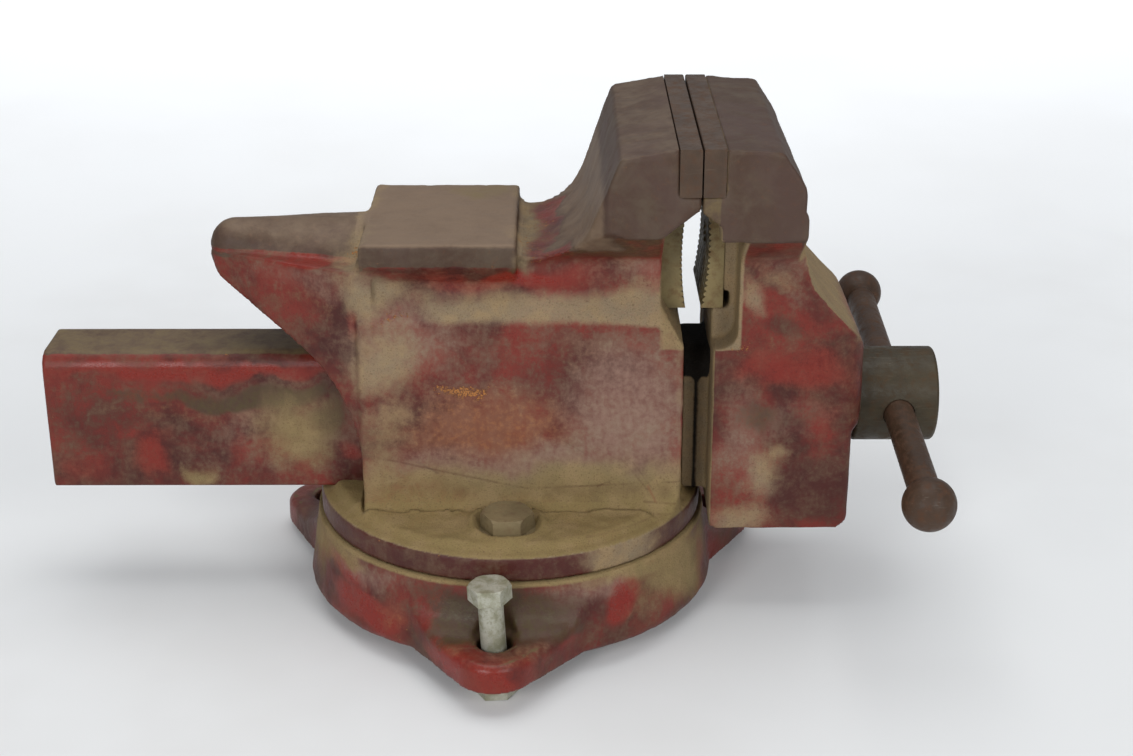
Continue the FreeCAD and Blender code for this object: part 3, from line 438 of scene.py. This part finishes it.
def dry_dust(f, cloud, speck):
    """Tan and grey dust, olive where oil has soaked in."""
    dust = f.mix(f.ramp(cloud, 0.35, 0.7), dust_grey, dust_tan)
    olive = f.mix(f.times(f.ramp(cloud, 0.45, 0.65), 0.4), dirt_olive, dust_tan)
    dust = f.mix(f.mask("olive"), dust, olive)
    return f.mix(f.times(f.ramp(speck, 0.5, 0.7), 0.6), dust, film_brown)


def cast_paint(name, seed, scratches=()):
    """Old red paint on a casting. The masks that the mesh carries say where it is bare, dusty or greasy, and
    where shade is painted.
    """
    f = Finish(name)
    broad = f.noise(46, 5, 0.6, seed, warp=0.5)
    cloud = f.noise(15, 7, 0.68, seed + 1, warp=0.3)
    fine = f.noise(3.0, 5, 0.72, seed + 2)
    speck = f.noise(0.9, 3, 0.6, seed + 3)
    runs = f.noise(2.4, 5, 0.7, seed + 8, stretch=(1, 1, 6))
    tear = f.add(f.times(cloud, 0.6), f.times(fine, 0.3), f.times(runs, 0.1))
    edge = f.mask("edge")

    fresh = f.torn(f.mask("fresh"), tear, 0.3, 0.8, 1.6)
    colour, film = old_red(f, broad, tear, fine, speck, fresh)

    # paint stained orange brown
    warm = f.torn(f.mask("warm"), tear, 0.25, 0.85, 1.2)
    colour = f.mix(f.times(warm, 0.8), colour, f.mix(f.ramp(fine, 0.45, 0.7), warm_brown, warm_orange))

    # pink haze: chalked paint and fine dust
    haze = f.torn(f.mask("haze"), tear, 0.0, 1.0, 1.2)
    streaks = f.ramp(f.add(f.times(fine, 0.7), f.times(runs, 0.3)), 0.35, 0.65)
    haze = f.times(haze, f.blend(streaks, 0.6, 0.95))
    colour = f.mix(haze, colour, f.mix(f.ramp(broad, 0.4, 0.65), haze_pink, haze_grey))

    # greasy olive brown film, and painted shade in the same dark olive brown
    grease_and_shade = f.torn(f.mask("grease_and_shade"), tear, 0.3, 0.8, 1.2)
    grease_and_shade_tone = f.mix(f.ramp(fine, 0.35, 0.65), grease_and_shade_olive, iron_brown)
    colour = f.mix(f.times(grease_and_shade, 0.88), colour, grease_and_shade_tone)

    # bare iron on worn faces and edges
    worn = f.add(f.mask("bare"), f.times(f.ramp(edge, 0.25, 0.9), 0.35))
    worn = f.torn(worn, tear, 0.42, 0.62, 1.1)
    colour = f.mix(worn, colour, bare_iron(f, broad, cloud, tear, fine))

    # dust in hollows and on ledges
    hollow = f.ramp(f.mask("form"), -0.15, -0.75)
    dust = f.torn(f.add(f.mask("dust"), f.times(hollow, 0.2)), tear, 0.05, 0.95, 1.0)
    dust = f.times(dust, f.blend(f.ramp(speck, 0.3, 0.6), 0.72, 1.0))
    colour = f.mix(dust, colour, dry_dust(f, cloud, speck))

    # orange chips down to rust, and tiny bright nicks on edges
    chips = f.torn(f.mask("rust"), f.noise(1.8, 4, 0.8, seed + 6), 0.60, 0.74, 2.2)
    nicks = f.times(f.ramp(f.noise(4.5, 5, 0.8, seed + 7), 0.66, 0.7), f.ramp(edge, 0.05, 0.4))
    chips = f.maths("MAXIMUM", chips, f.times(nicks, 0.7))
    colour = f.mix(f.times(chips, 0.85), colour, f.mix(f.ramp(speck, 0.4, 0.6), rust_brown, rust_orange))

    # painted shade: near black deep in the gap between the castings and inside the body's tunnel
    colour = f.mix(f.torn(f.mask("painted_gap_shade"), tear, 0.3, 0.7, 0.8), colour, painted_gap_shade)

    relief = f.add(f.times(cloud, 0.5), f.times(fine, 0.35), f.times(speck, 0.18))
    relief = f.add(relief, f.times(worn, -0.2), f.times(chips, -0.25), f.times(dust, f.times(speck, 0.5)))
    for start, end, width, tone in scratches:
        breaks = f.ramp(f.noise(16, 3, 0.6, seed + start[0]), 0.30, 0.60)
        mark = f.times(f.line(start, end, width), breaks)
        colour = f.mix(f.times(mark, 0.35), colour, tone)
        relief = f.add(relief, f.times(mark, -0.1))

    roughness = f.blend(haze, f.blend(f.ramp(fine, 0.3, 0.7), 0.34, 0.5), 0.62)
    roughness = f.blend(f.times(film, 0.8), f.blend(fresh, roughness, 0.26), 0.6)
    roughness = f.blend(worn, roughness, 0.55)
    roughness = f.blend(dust, roughness, 0.92)
    return f.finish(colour, roughness, relief, depth=0.5, specular=0.3)


# Scratches on the body's side: both ends in X and Z, width and colour
body_scratches = [
    ((-73, 88), (10, 69), 0.9, paint_maroon), ((10, 69), (94, 73), 0.9, paint_maroon),
    ((46, 70), (62, 78), 0.7, paint_maroon), ((58, 86), (72, 68), 0.7, film_brown),
    ((64, 84), (76, 66), 0.6, film_brown), ((70, 62), (86, 61), 0.8, paint_maroon),
    ((72, 70), (76, 62), 1.0, paint_red), ((-46, 84), (-36, 78), 0.9, iron_violet),
    ((40, 58), (84, 57), 0.7, film_brown), ((28, 96), (50, 82), 0.5, film_brown),
]


def bare_steel(name, tone, seed, rust, shine):
    """Dark old steel with rust bloom, fine scratches along X and a little bare metal."""
    f = Finish(name)
    broad = f.noise(18, 5, 0.6, seed)
    cloud = f.noise(5, 6, 0.7, seed + 1)
    fine = f.noise(1.4, 4, 0.7, seed + 2)
    scratch = f.noise(1.2, 3, 0.6, seed + 3, stretch=(14, 1, 1))
    lighter = tuple(1.4 * c for c in tone)
    colour = f.mix(f.ramp(broad, 0.35, 0.65), tone, lighter)
    colour = f.mix(f.times(f.ramp(cloud, 0.45, 0.7), rust), colour, rust_brown)
    colour = f.mix(f.times(f.ramp(scratch, 0.6, 0.85), 0.25), colour, steel_bare)
    colour = f.mix(f.times(f.ramp(fine, 0.6, 0.8), 0.4), colour, steel_dark)
    bloom = f.ramp(cloud, 0.4, 0.7)
    roughness = f.blend(bloom, 0.42, 0.8)
    metallic = f.blend(bloom, shine, 0.0)
    relief = f.add(f.times(cloud, 0.5), f.times(fine, 0.3), f.times(scratch, 0.2))
    return f.finish(colour, roughness, relief, depth=0.25, metallic=metallic, specular=0.3)


def dull_zinc():
    """Dull zinc with greenish dirt."""
    f = Finish("dull_zinc")
    cloud = f.noise(6, 5, 0.6, 31)
    fine = f.noise(1.5, 4, 0.7, 32)
    colour = f.mix(f.ramp(cloud, 0.35, 0.65), zinc_dull, zinc_pale)
    colour = f.mix(f.times(f.ramp(fine, 0.5, 0.75), 0.6), colour, zinc_dirty)
    roughness = f.blend(f.ramp(fine, 0.3, 0.7), 0.35, 0.65)
    return f.finish(colour, roughness, f.add(cloud, fine), depth=0.2, metallic=0.35)


# The three castings. Masks run from 0 to 1, or higher where the material's grain mustn't break them up.

def paint_body(mesh, points, normals):
    x, y, z = (points / MM).T
    up = normals[:, 2]
    place = stray(points, 26, 3)
    stray_x, _, stray_z = (place / MM).T
    side = rise(np.abs(normals[:, 1]), 0.5, 0.9)
    jaw = rise(z, 209.5, 211.5) * rise(x, 46, 50)
    neck = rise(stray_x, 4, 10) * fall(stray_x, 50, 62) * rise(stray_z, 193, 203)
    crown = rise(z, 185, 188) * (x < -70)
    anvil = rise(z, 189, 191.5) * between(x, -76, 8)
    jaw_seat = rise(x, 76, 78) * between(z, 146, 211)
    flange_side = fall(z, 54, 56) * rise(z, 40, 42)
    flange_top = between(z, 53, 62) * rise(up, 0.3, 0.8)
    ledge_z = 0.3 * stray_z + 0.7 * z
    ledge = rise(ledge_z, 156, 163) * fall(ledge_z, 167, 177) * rise(stray_x, -56, -30) * (x < 92)
    foot = fall(stray_z, 60, 98) * (z > 54)
    tunnel = (np.abs(y) < 23.4) & between(z, 57, 134) & (x > -74)

    bare = jaw * 1.4 + anvil * 1.3 + neck * 0.95 + crown * 0.8
    set_mask(mesh, "bare", np.clip(bare + patches(
        place, through(body_through, (50, 222, 14, 20, 0.5)) + through(30, (-150, 190, 10, 10, 0.3))), 0, 1.4))
    set_mask(mesh, "fresh", (1 - jaw) * patches(place, through(
        body_through, (12, 181, 34, 8, 1.0), (-20, 180, 34, 8, 0.65), (74, 186, 14, 12, 0.75),
        (50, 194, 24, 12, 0.6), (-60, 186, 20, 4, 0.5), (20, 150, 34, 8, 0.45), (84, 84, 6, 10, 0.6),
        (-80, 158, 6, 12, 0.7)) + through(50, (-96, 184.5, 40, 2.5, 0.9))))
    # maroon on the flange's rim and in patches of paint, and painted shadow in the first row: a dark strip
    # under the anvil's lip
    set_mask(mesh, "maroon_and_shade", np.clip(1.3 * flange_side + patches(place, through(
        body_through, (-30, 187, 60, 3, 0.8), (30, 132, 52, 26, 0.7), (-50, 160, 20, 6, 0.5),
        (58, 204, 16, 8, 0.5)) + through(60, (-115, 172, 34, 14, 0.4))), 0, 1))
    set_mask(mesh, "warm", side * patches(place, through(
        body_through, (-10, 103, 46, 24, 1.0), (-60, 112, 16, 12, 0.5), (40, 140, 40, 14, 0.4),
        (-100, 168, 30, 14, 0.4))))
    dusty_iron = ((anvil * 0.85 + crown * 0.55) * rise(up, 0.2, 0.9) + neck * 0.6) * (1 - jaw)
    dusty_iron = dusty_iron + 0.35 * jaw * rise(up, 0.6, 0.9)
    set_mask(mesh, "haze", dusty_iron + side * (1 - anvil) * patches(place, through(
        body_through, (62, 106, 34, 44, 1.0), (20, 80, 70, 14, 0.95), (-45, 82, 36, 14, 0.7),
        (-52, 148, 34, 20, 0.65), (70, 190, 26, 12, 0.55), (0, 120, 80, 50, 0.25),
        (40, 188, 40, 12, 0.2)) + through(60, (-96, 176, 34, 8, 0.5))))
    dust = 0.9 * ledge + 1.3 * flange_top + 0.7 * foot + 0.75 * jaw_seat
    set_mask(mesh, "dust", np.clip(dust + patches(place, through(
        body_through, (-68, 172, 17, 14, 1.0), (-64, 137, 20, 19, 1.0), (72, 170, 22, 10, 0.9),
        (-62, 100, 16, 26, 0.6), (30, 74, 80, 6, 0.5), (9, 194, 6, 8, 0.6), (88, 110, 3, 60, 0.4))
        + through(60, (-72, 193, 5, 12, 0.8)) + [((66, -94, 48), (24, 30, 14), 0.9)]), 0, 1))
    set_mask(mesh, "olive", np.clip(0.8 * foot + 0.4 * jaw_seat + patches(
        place, through(body_through, (-55, 90, 30, 16, 0.5))
        + [((-10, 40, 202), (26, 20, 6), 0.7), ((-30, -30, 202), (18, 10, 6), 0.6)]), 0, 1))
    bolt_pit = [((-15, -71, 56), (6, 8, 8), 1.0), ((17, -71, 56), (6, 8, 8), 1.0),
                ((0, -84, 56), (14, 4, 6), 0.5)]
    # painted shade: dark olive brown on faces that look down; grease in the listed patches
    set_mask(mesh, "grease_and_shade", np.clip(0.8 * fall(up, -0.9, -0.5) * (z > 60) + patches(
        place, through(body_through, (8, 192, 7, 10, 0.8)) + bolt_pit), 0, 1))
    set_mask(mesh, "rust", patches(place, through(
        body_through, (-24, 124, 17, 5, 1.0), (-15, 100, 34, 20, 0.36), (-58, 158, 14, 4, 0.6),
        (14, 196, 10, 5, 0.5), (-74, 190, 4, 8, 0.6), (0, 150, 90, 60, 0.2))))
    # painted shade: near black inside the tunnel that the beam runs through
    set_mask(mesh, "painted_gap_shade", 0.8 * tunnel)


def cake_flange(points, normals):
    """Dirt caked on top of the flange, with a ridge round the heads of the lock bolts."""
    x, y, z = (points / MM).T
    from_bolt = np.hypot(x, np.abs(y) - lock_bolt_y)
    outside = from_bolt > washer_clear_r
    top = rise(normals[:, 2], 0.6, 0.9) * between(z, flange_top_z - 1, flange_top_z + 1)
    inside = fall(np.hypot(x, y), cake_edge_r - 5, cake_edge_r)
    thickness = cake_height + 1.2 * lumps(points, 14, 81) + rise(75 - np.abs(y), 0, 22)
    ridge = 2.6 * fall(from_bolt, 17, 22)
    thickness = thickness * rise(from_bolt, washer_clear_r, 19) + ridge * outside
    raised = points.copy()
    raised[:, 2] += np.maximum(thickness, 0) * top * inside * outside * MM
    return raised


def rough_body(points):
    x, y, z = (points / MM).T
    tunnel = (np.abs(y) < 23.6) & (z < 133)
    under = z < 43
    jaw_seat = (x > 76) & (z > 160)
    return np.where(tunnel | under | jaw_seat, 0.0, 1.0)


def vise_body():
    mesh, points, normals = casting("vise_body", voxel=1.5, rounds=2, lump=0.55, seed=11, rough=rough_body)
    paint_body(mesh, points, normals)
    write_points(mesh, cake_flange(points, normals))
    stand_in("vise_body", "head", mesh, cast_paint("body_paint", 1.0, body_scratches))


def paint_jaw(mesh, points, normals):
    x, y, z = (points / MM).T
    up = normals[:, 2]
    place = stray(points, 24, 13)
    beam = x < 103
    jaw = rise(z, 208, 210)
    beam_top = beam * rise(up, 0.75, 0.95)
    front_slope = rise(normals[:, 0], 0.3, 0.8) * ~beam * rise(z, 142, 156) * (1 - jaw)
    back = fall(normals[:, 0], -0.9, -0.5) * between(x, 102, 122)
    # the beam's root, in the gap between the castings, has pale tan dust at its sides, partly painted light,
    # and painted shade: a dark line in its middle and near black at the top of the gap
    root = between(x, 88, 104.5) & (z < 136) & (np.abs(y) < 27)
    gap_top = between(x, 88, 103.5) * rise(z, 118, 126) * (z < 146)
    jaw_seat = between(x, 100, 118) & between(z, 144, 209)

    set_mask(mesh, "bare", np.clip(jaw * 1.4 + beam_top * 0.8 + patches(
        place, through(90, (130, 206, 30, 5, 0.4))), 0, 1.4))
    set_mask(mesh, "fresh", ~root * (1 - jaw) * patches(place, through(
        beam_through, (-150, 124, 110, 6, 1.0), (-186, 76, 16, 14, 0.9), (-222, 66, 20, 12, 0.6),
        (-86, 76, 10, 7, 1.0), (-140, 80, 10, 7, 0.6)) + through(
        jaw_through, (148, 132, 30, 14, 0.85), (126, 132, 14, 8, 0.75), (160, 104, 14, 14, 0.6),
        (150, 160, 8, 8, 0.6), (126, 190, 12, 8, 0.45), (174, 60, 4, 16, 0.7))
        + through(60, (176, 126, 6, 26, 0.7))))
    # maroon paint in patches, and painted shadow in the last row: the beam's side is darker next to the body,
    # whose shadow falls there
    set_mask(mesh, "maroon_and_shade", ~root * patches(place, through(
        jaw_through, (158, 64, 26, 22, 1.2), (136, 158, 18, 10, 0.8), (150, 90, 20, 10, 0.6),
        (172, 96, 10, 20, 0.5), (118, 80, 8, 12, 0.5)) + through(
        beam_through, (-215, 96, 30, 20, 0.8), (-160, 78, 50, 22, 0.5), (-100, 82, 14, 22, 0.7))))
    set_mask(mesh, "warm", patches(place, through(beam_through, (-170, 98, 60, 10, 0.45)) + through(
        jaw_through, (130, 146, 20, 8, 0.4), (178, 128, 5, 10, 0.6))))
    set_mask(mesh, "haze", ~root * (1 - jaw) * np.clip(0.45 * beam_top + patches(place, through(
        jaw_through, (120, 94, 14, 26, 0.7), (136, 196, 14, 8, 0.4), (140, 104, 22, 9, 0.4),
        (146, 178, 8, 8, 0.3)) + through(beam_through, (-110, 90, 50, 28, 0.45))), 0, 1))
    dust = 1.3 * root + 1.1 * back + 1.0 * jaw_seat + 0.9 * front_slope
    set_mask(mesh, "dust", np.clip(dust + ~root * patches(place, through(
        beam_through, (-112, 88, 20, 22, 0.9), (-160, 64, 9, 8, 1.0)) + through(
        jaw_through, (132, 74, 14, 16, 0.9), (118, 52, 18, 8, 0.9), (122, 172, 9, 12, 0.95),
        (142, 86, 8, 6, 0.7), (134, 186, 12, 5, 0.5))), 0, 1))
    # the root's and the seat's dust gets little olive and stays pale tan: the dust's own colour, made lighter
    # as painted light where the lamps leave these gaps in shade
    set_mask(mesh, "olive", np.clip(
        0.6 * beam * ~root + 0.4 * front_slope + 0.3 * back + 0.1 * jaw_seat + 0.1 * root, 0, 1))
    # olive brown grease on the beam's top and in patches, and painted shadow in the patch at (-94, 96) on the
    # beam's side next to the body
    set_mask(mesh, "grease_and_shade", ~root * np.clip(0.6 * beam_top + patches(place, through(
        beam_through, (-130, 108, 90, 7, 0.95), (-94, 96, 10, 14, 0.8)) + through(
        jaw_through, (126, 106, 16, 10, 0.75), (148, 104, 16, 7, 0.6), (128, 86, 14, 12, 0.4))), 0, 1))
    set_mask(mesh, "rust", patches(place, through(
        beam_through, (179, 128, 6, 10, 0.8), (-170, 128, 80, 4, 0.3)) + through(
        jaw_through, (116, 140, 10, 5, 0.6))))
    # painted shade: a dark line down the crease in the root's middle, and near black higher in the gap
    strip = root * np.exp(-((x - 97.5) / 1.6) ** 2) * (z < 132)
    set_mask(mesh, "painted_gap_shade", np.clip(0.8 * strip + 0.9 * root * rise(z, 116, 128) + gap_top, 0, 1))


def rough_jaw(points):
    """The beam is nearly smooth, and the screw's bearing face and the pipe jaw's seat are machined."""
    x, y, z = (points / MM).T
    bearing = (x > 176) & (np.hypot(y, z - 100.6) < 28)
    jaw_seat = (x < 121) & (np.abs(y) < 32) & (z > 158)
    return np.where(x < 103, 0.12, 1.0) * np.where(bearing | jaw_seat, 0, 1)


def moving_jaw():
    mesh, points, normals = casting("moving_jaw", voxel=1.4, rounds=2, lump=0.5, seed=23, rough=rough_jaw)
    paint_jaw(mesh, points, normals)
    stand_in("moving_jaw", "moving_jaw", mesh, cast_paint("moving_jaw_paint", 7.0))


def paint_base(mesh, points, normals):
    x, y, z = (points / MM).T
    up = normals[:, 2]
    place = stray(points, 24, 23)
    lugs = rise(np.hypot(x, y), 122, 134)
    wall = fall(up, 0.5, 0.8) * (z > 18)
    set_mask(mesh, "bare", 0.2 * rise(up, 0.8, 1.0))
    set_mask(mesh, "fresh", np.clip(0.6 * lugs + patches(place, [
        ((-78, -84, 14), (30, 30, 10), 1.0), ((-48, -120, 12), (24, 16, 12), 1.0),
        ((-84, -64, 30), (16, 20, 10), 0.9), ((0, -156, 14), (26, 12, 16), 1.0),
        ((58, -90, 24), (12, 14, 12), 1.0), ((40, -114, 14), (30, 12, 10), 0.7)]), 0, 1))
    set_mask(mesh, "maroon_and_shade", patches(place, [
        ((24, -112, 24), (40, 22, 14), 1.0), ((-20, -110, 26), (34, 16, 14), 0.9),
        ((60, -98, 8), (26, 18, 10), 0.6)]))
    set_mask(mesh, "warm", patches(place, [
        ((-34, -128, 15), (16, 14, 5), 0.6), ((0, -126, 16), (26, 12, 4), 0.5),
        ((-70, -96, 16), (26, 14, 8), 0.5)]))
    set_mask(mesh, "haze", np.clip(0.2 * rise(up, 0.2, 0.8) + patches(place, [
        ((-66, -72, 34), (24, 24, 8), 0.6), ((44, -92, 34), (24, 16, 8), 0.6)]), 0, 1))
    set_mask(mesh, "dust", np.clip(0.9 * rise(z, 38.5, 40.2) + patches(place, [
        ((84, -52, 28), (26, 34, 20), 1.0), ((70, -74, 34), (18, 18, 8), 1.0),
        ((-98, -26, 30), (16, 26, 14), 0.9), ((23, -131, 16), (5, 5, 4), 1.0),
        ((-84, -52, 38), (24, 26, 5), 0.8), ((60, -88, 38), (30, 20, 4), 0.7)]), 0, 1))
    set_mask(mesh, "olive", np.full(len(points), 0.65))
    set_mask(mesh, "grease_and_shade", patches(place, [
        ((-4, -104, 24), (40, 18, 16), 0.95), ((-20, -118, 18), (26, 12, 8), 0.8),
        ((30, -112, 18), (20, 14, 8), 0.7), ((0, 105, 20), (80, 30, 30), 0.5),
        ((-8, -161, 12), (6, 4, 6), 0.8), ((70, -96, 34), (14, 8, 6), 0.7)]))
    set_mask(mesh, "rust", np.clip(0.15 * wall + patches(place, [((-50, -112, 8), (40, 24, 12), 0.4)]), 0, 1))


def rough_base(points):
    """The bearing face on top and the recess and slot inside are machined."""
    x, y, z = (points / MM).T
    return np.where((z > 40.5) | (np.hypot(x, y) < 90), 0.0, 1.0)


def swivel_base():
    mesh, points, normals = casting("swivel_base", voxel=1.4, rounds=3, lump=0.5, seed=37, rough=rough_base)
    paint_base(mesh, points, normals)
    stand_in("swivel_base", "base", mesh, cast_paint("base_paint", 13.0))


# Steel pieces keep their CAD shape

def dress(material, *names):
    for name in names:
        materials = nodes[name].data.materials
        materials.clear()
        materials.append(material)


def dress_steel():
    dress(bare_steel("jaw_steel", steel_jaw, 51.0, rust=0.3, shine=0.0),
          "static_jaw_plate", "moving_jaw_plate")
    dress(bare_steel("pipe_jaw_steel", steel_pipe_jaw, 53.0, rust=0.5, shine=0.1),
          "static_pipe_jaw", "moving_pipe_jaw")
    dress(bare_steel("screw_steel", steel_screw, 55.0, rust=0.2, shine=0.05),
          "main_screw", "thrust_washer", "screw_collar")
    dress(bare_steel("handle_steel", steel_handle, 57.0, rust=0.4, shine=0.05),
          "handle_bar", "near_handle_ball", "far_handle_ball")
    dress(bare_steel("lock_steel", steel_dusty, 59.0, rust=0.3, shine=0.0),
          "front_lock_bolt", "rear_lock_bolt", "front_lock_washer", "rear_lock_washer", "screw_nut")
    dress(bare_steel("dark_screws", steel_dark, 61.0, rust=0.3, shine=0.35),
          "collar_pin", "front_clamp_nut", "rear_clamp_nut", "nut_screws", "static_plate_screws",
          "moving_plate_screws", "static_pipe_jaw_screw", "moving_pipe_jaw_screw")
    dress(dull_zinc(), "mounting_bolt", "mounting_nut")


# Stage

def floor():
    slope = -nut_low.z / (rim_rear - nut_low.y)
    corners = [(-floor_half, floor_near), (floor_half, floor_near), (floor_half, floor_far),
               (-floor_half, floor_far)]
    points = [(x, y, nut_low.z + slope * (y - nut_low.y)) for x, y in corners]
    mesh = bpy.data.meshes.new("floor")
    mesh.from_pydata(points, [], [(0, 1, 2, 3)])
    made = new_object("floor", mesh)
    f = Finish("paper_floor")
    soil = f.noise(260, 4, 0.6, 71)
    colour = f.mix(f.ramp(soil, 0.4, 0.7), floor_pale, floor_soiled)
    paper = f.finish(colour, 0.75, soil, depth=0.02, specular=0.2)
    # behind the vise the backdrop is seen as white, without lighting anything
    split = f.tree.nodes.new("ShaderNodeSeparateXYZ")
    f.put(split.inputs[0], f.place)
    seen = f.tree.nodes.new("ShaderNodeLightPath").outputs["Is Camera Ray"]
    glow = f.times(f.times(seen, f.ramp(split.outputs["Y"], -300, 1900)), 0.8)
    shader = f.tree.nodes["Principled BSDF"]
    shader.inputs["Emission Color"].default_value = backdrop_white
    f.put(shader.inputs["Emission Strength"], glow)
    mesh.materials.append(paper)


def lamp(name, place, width, power):
    """A square lamp that points at the middle of the vise."""
    aim = Vector((0.0, 0.0, 0.12))
    data = bpy.data.lights.new(name, "AREA")
    data.size = width
    data.energy = power
    made = bpy.data.objects.new(name, data)
    made.location = place
    made.rotation_euler = (aim - Vector(place)).to_track_quat("-Z", "Y").to_euler()
    scene.collection.objects.link(made)


def light():
    world = bpy.data.worlds.new("studio")
    scene.world = world
    world.use_nodes = True
    tree = world.node_tree
    tree.nodes.clear()
    plain = tree.nodes.new("ShaderNodeBackground")
    plain.inputs["Color"].default_value = sky_white
    plain.inputs["Strength"].default_value = 0.38
    output = tree.nodes.new("ShaderNodeOutputWorld")
    tree.links.new(plain.outputs[0], output.inputs["Surface"])
    lamp("left_lamp", (-0.75, -1.5, 0.75), width=0.55, power=11)
    lamp("right_lamp", (0.85, -1.35, 0.8), width=0.55, power=9)
    lamp("top_lamp", (0.0, 0.1, 1.7), width=1.4, power=14)


def camera():
    data = bpy.data.cameras.new("camera")
    data.lens = camera_lens
    data.sensor_width = camera_film
    data.clip_start = 0.05
    made = bpy.data.objects.new("camera", data)
    made.location = camera_place
    made.rotation_euler = (math.pi / 2 - camera_down, 0, camera_turn)
    scene.collection.objects.link(made)
    scene.camera = made
    scene.view_settings.view_transform = "Standard"


camera()
light()
floor()
vise_body()
moving_jaw()
swivel_base()
dress_steel()
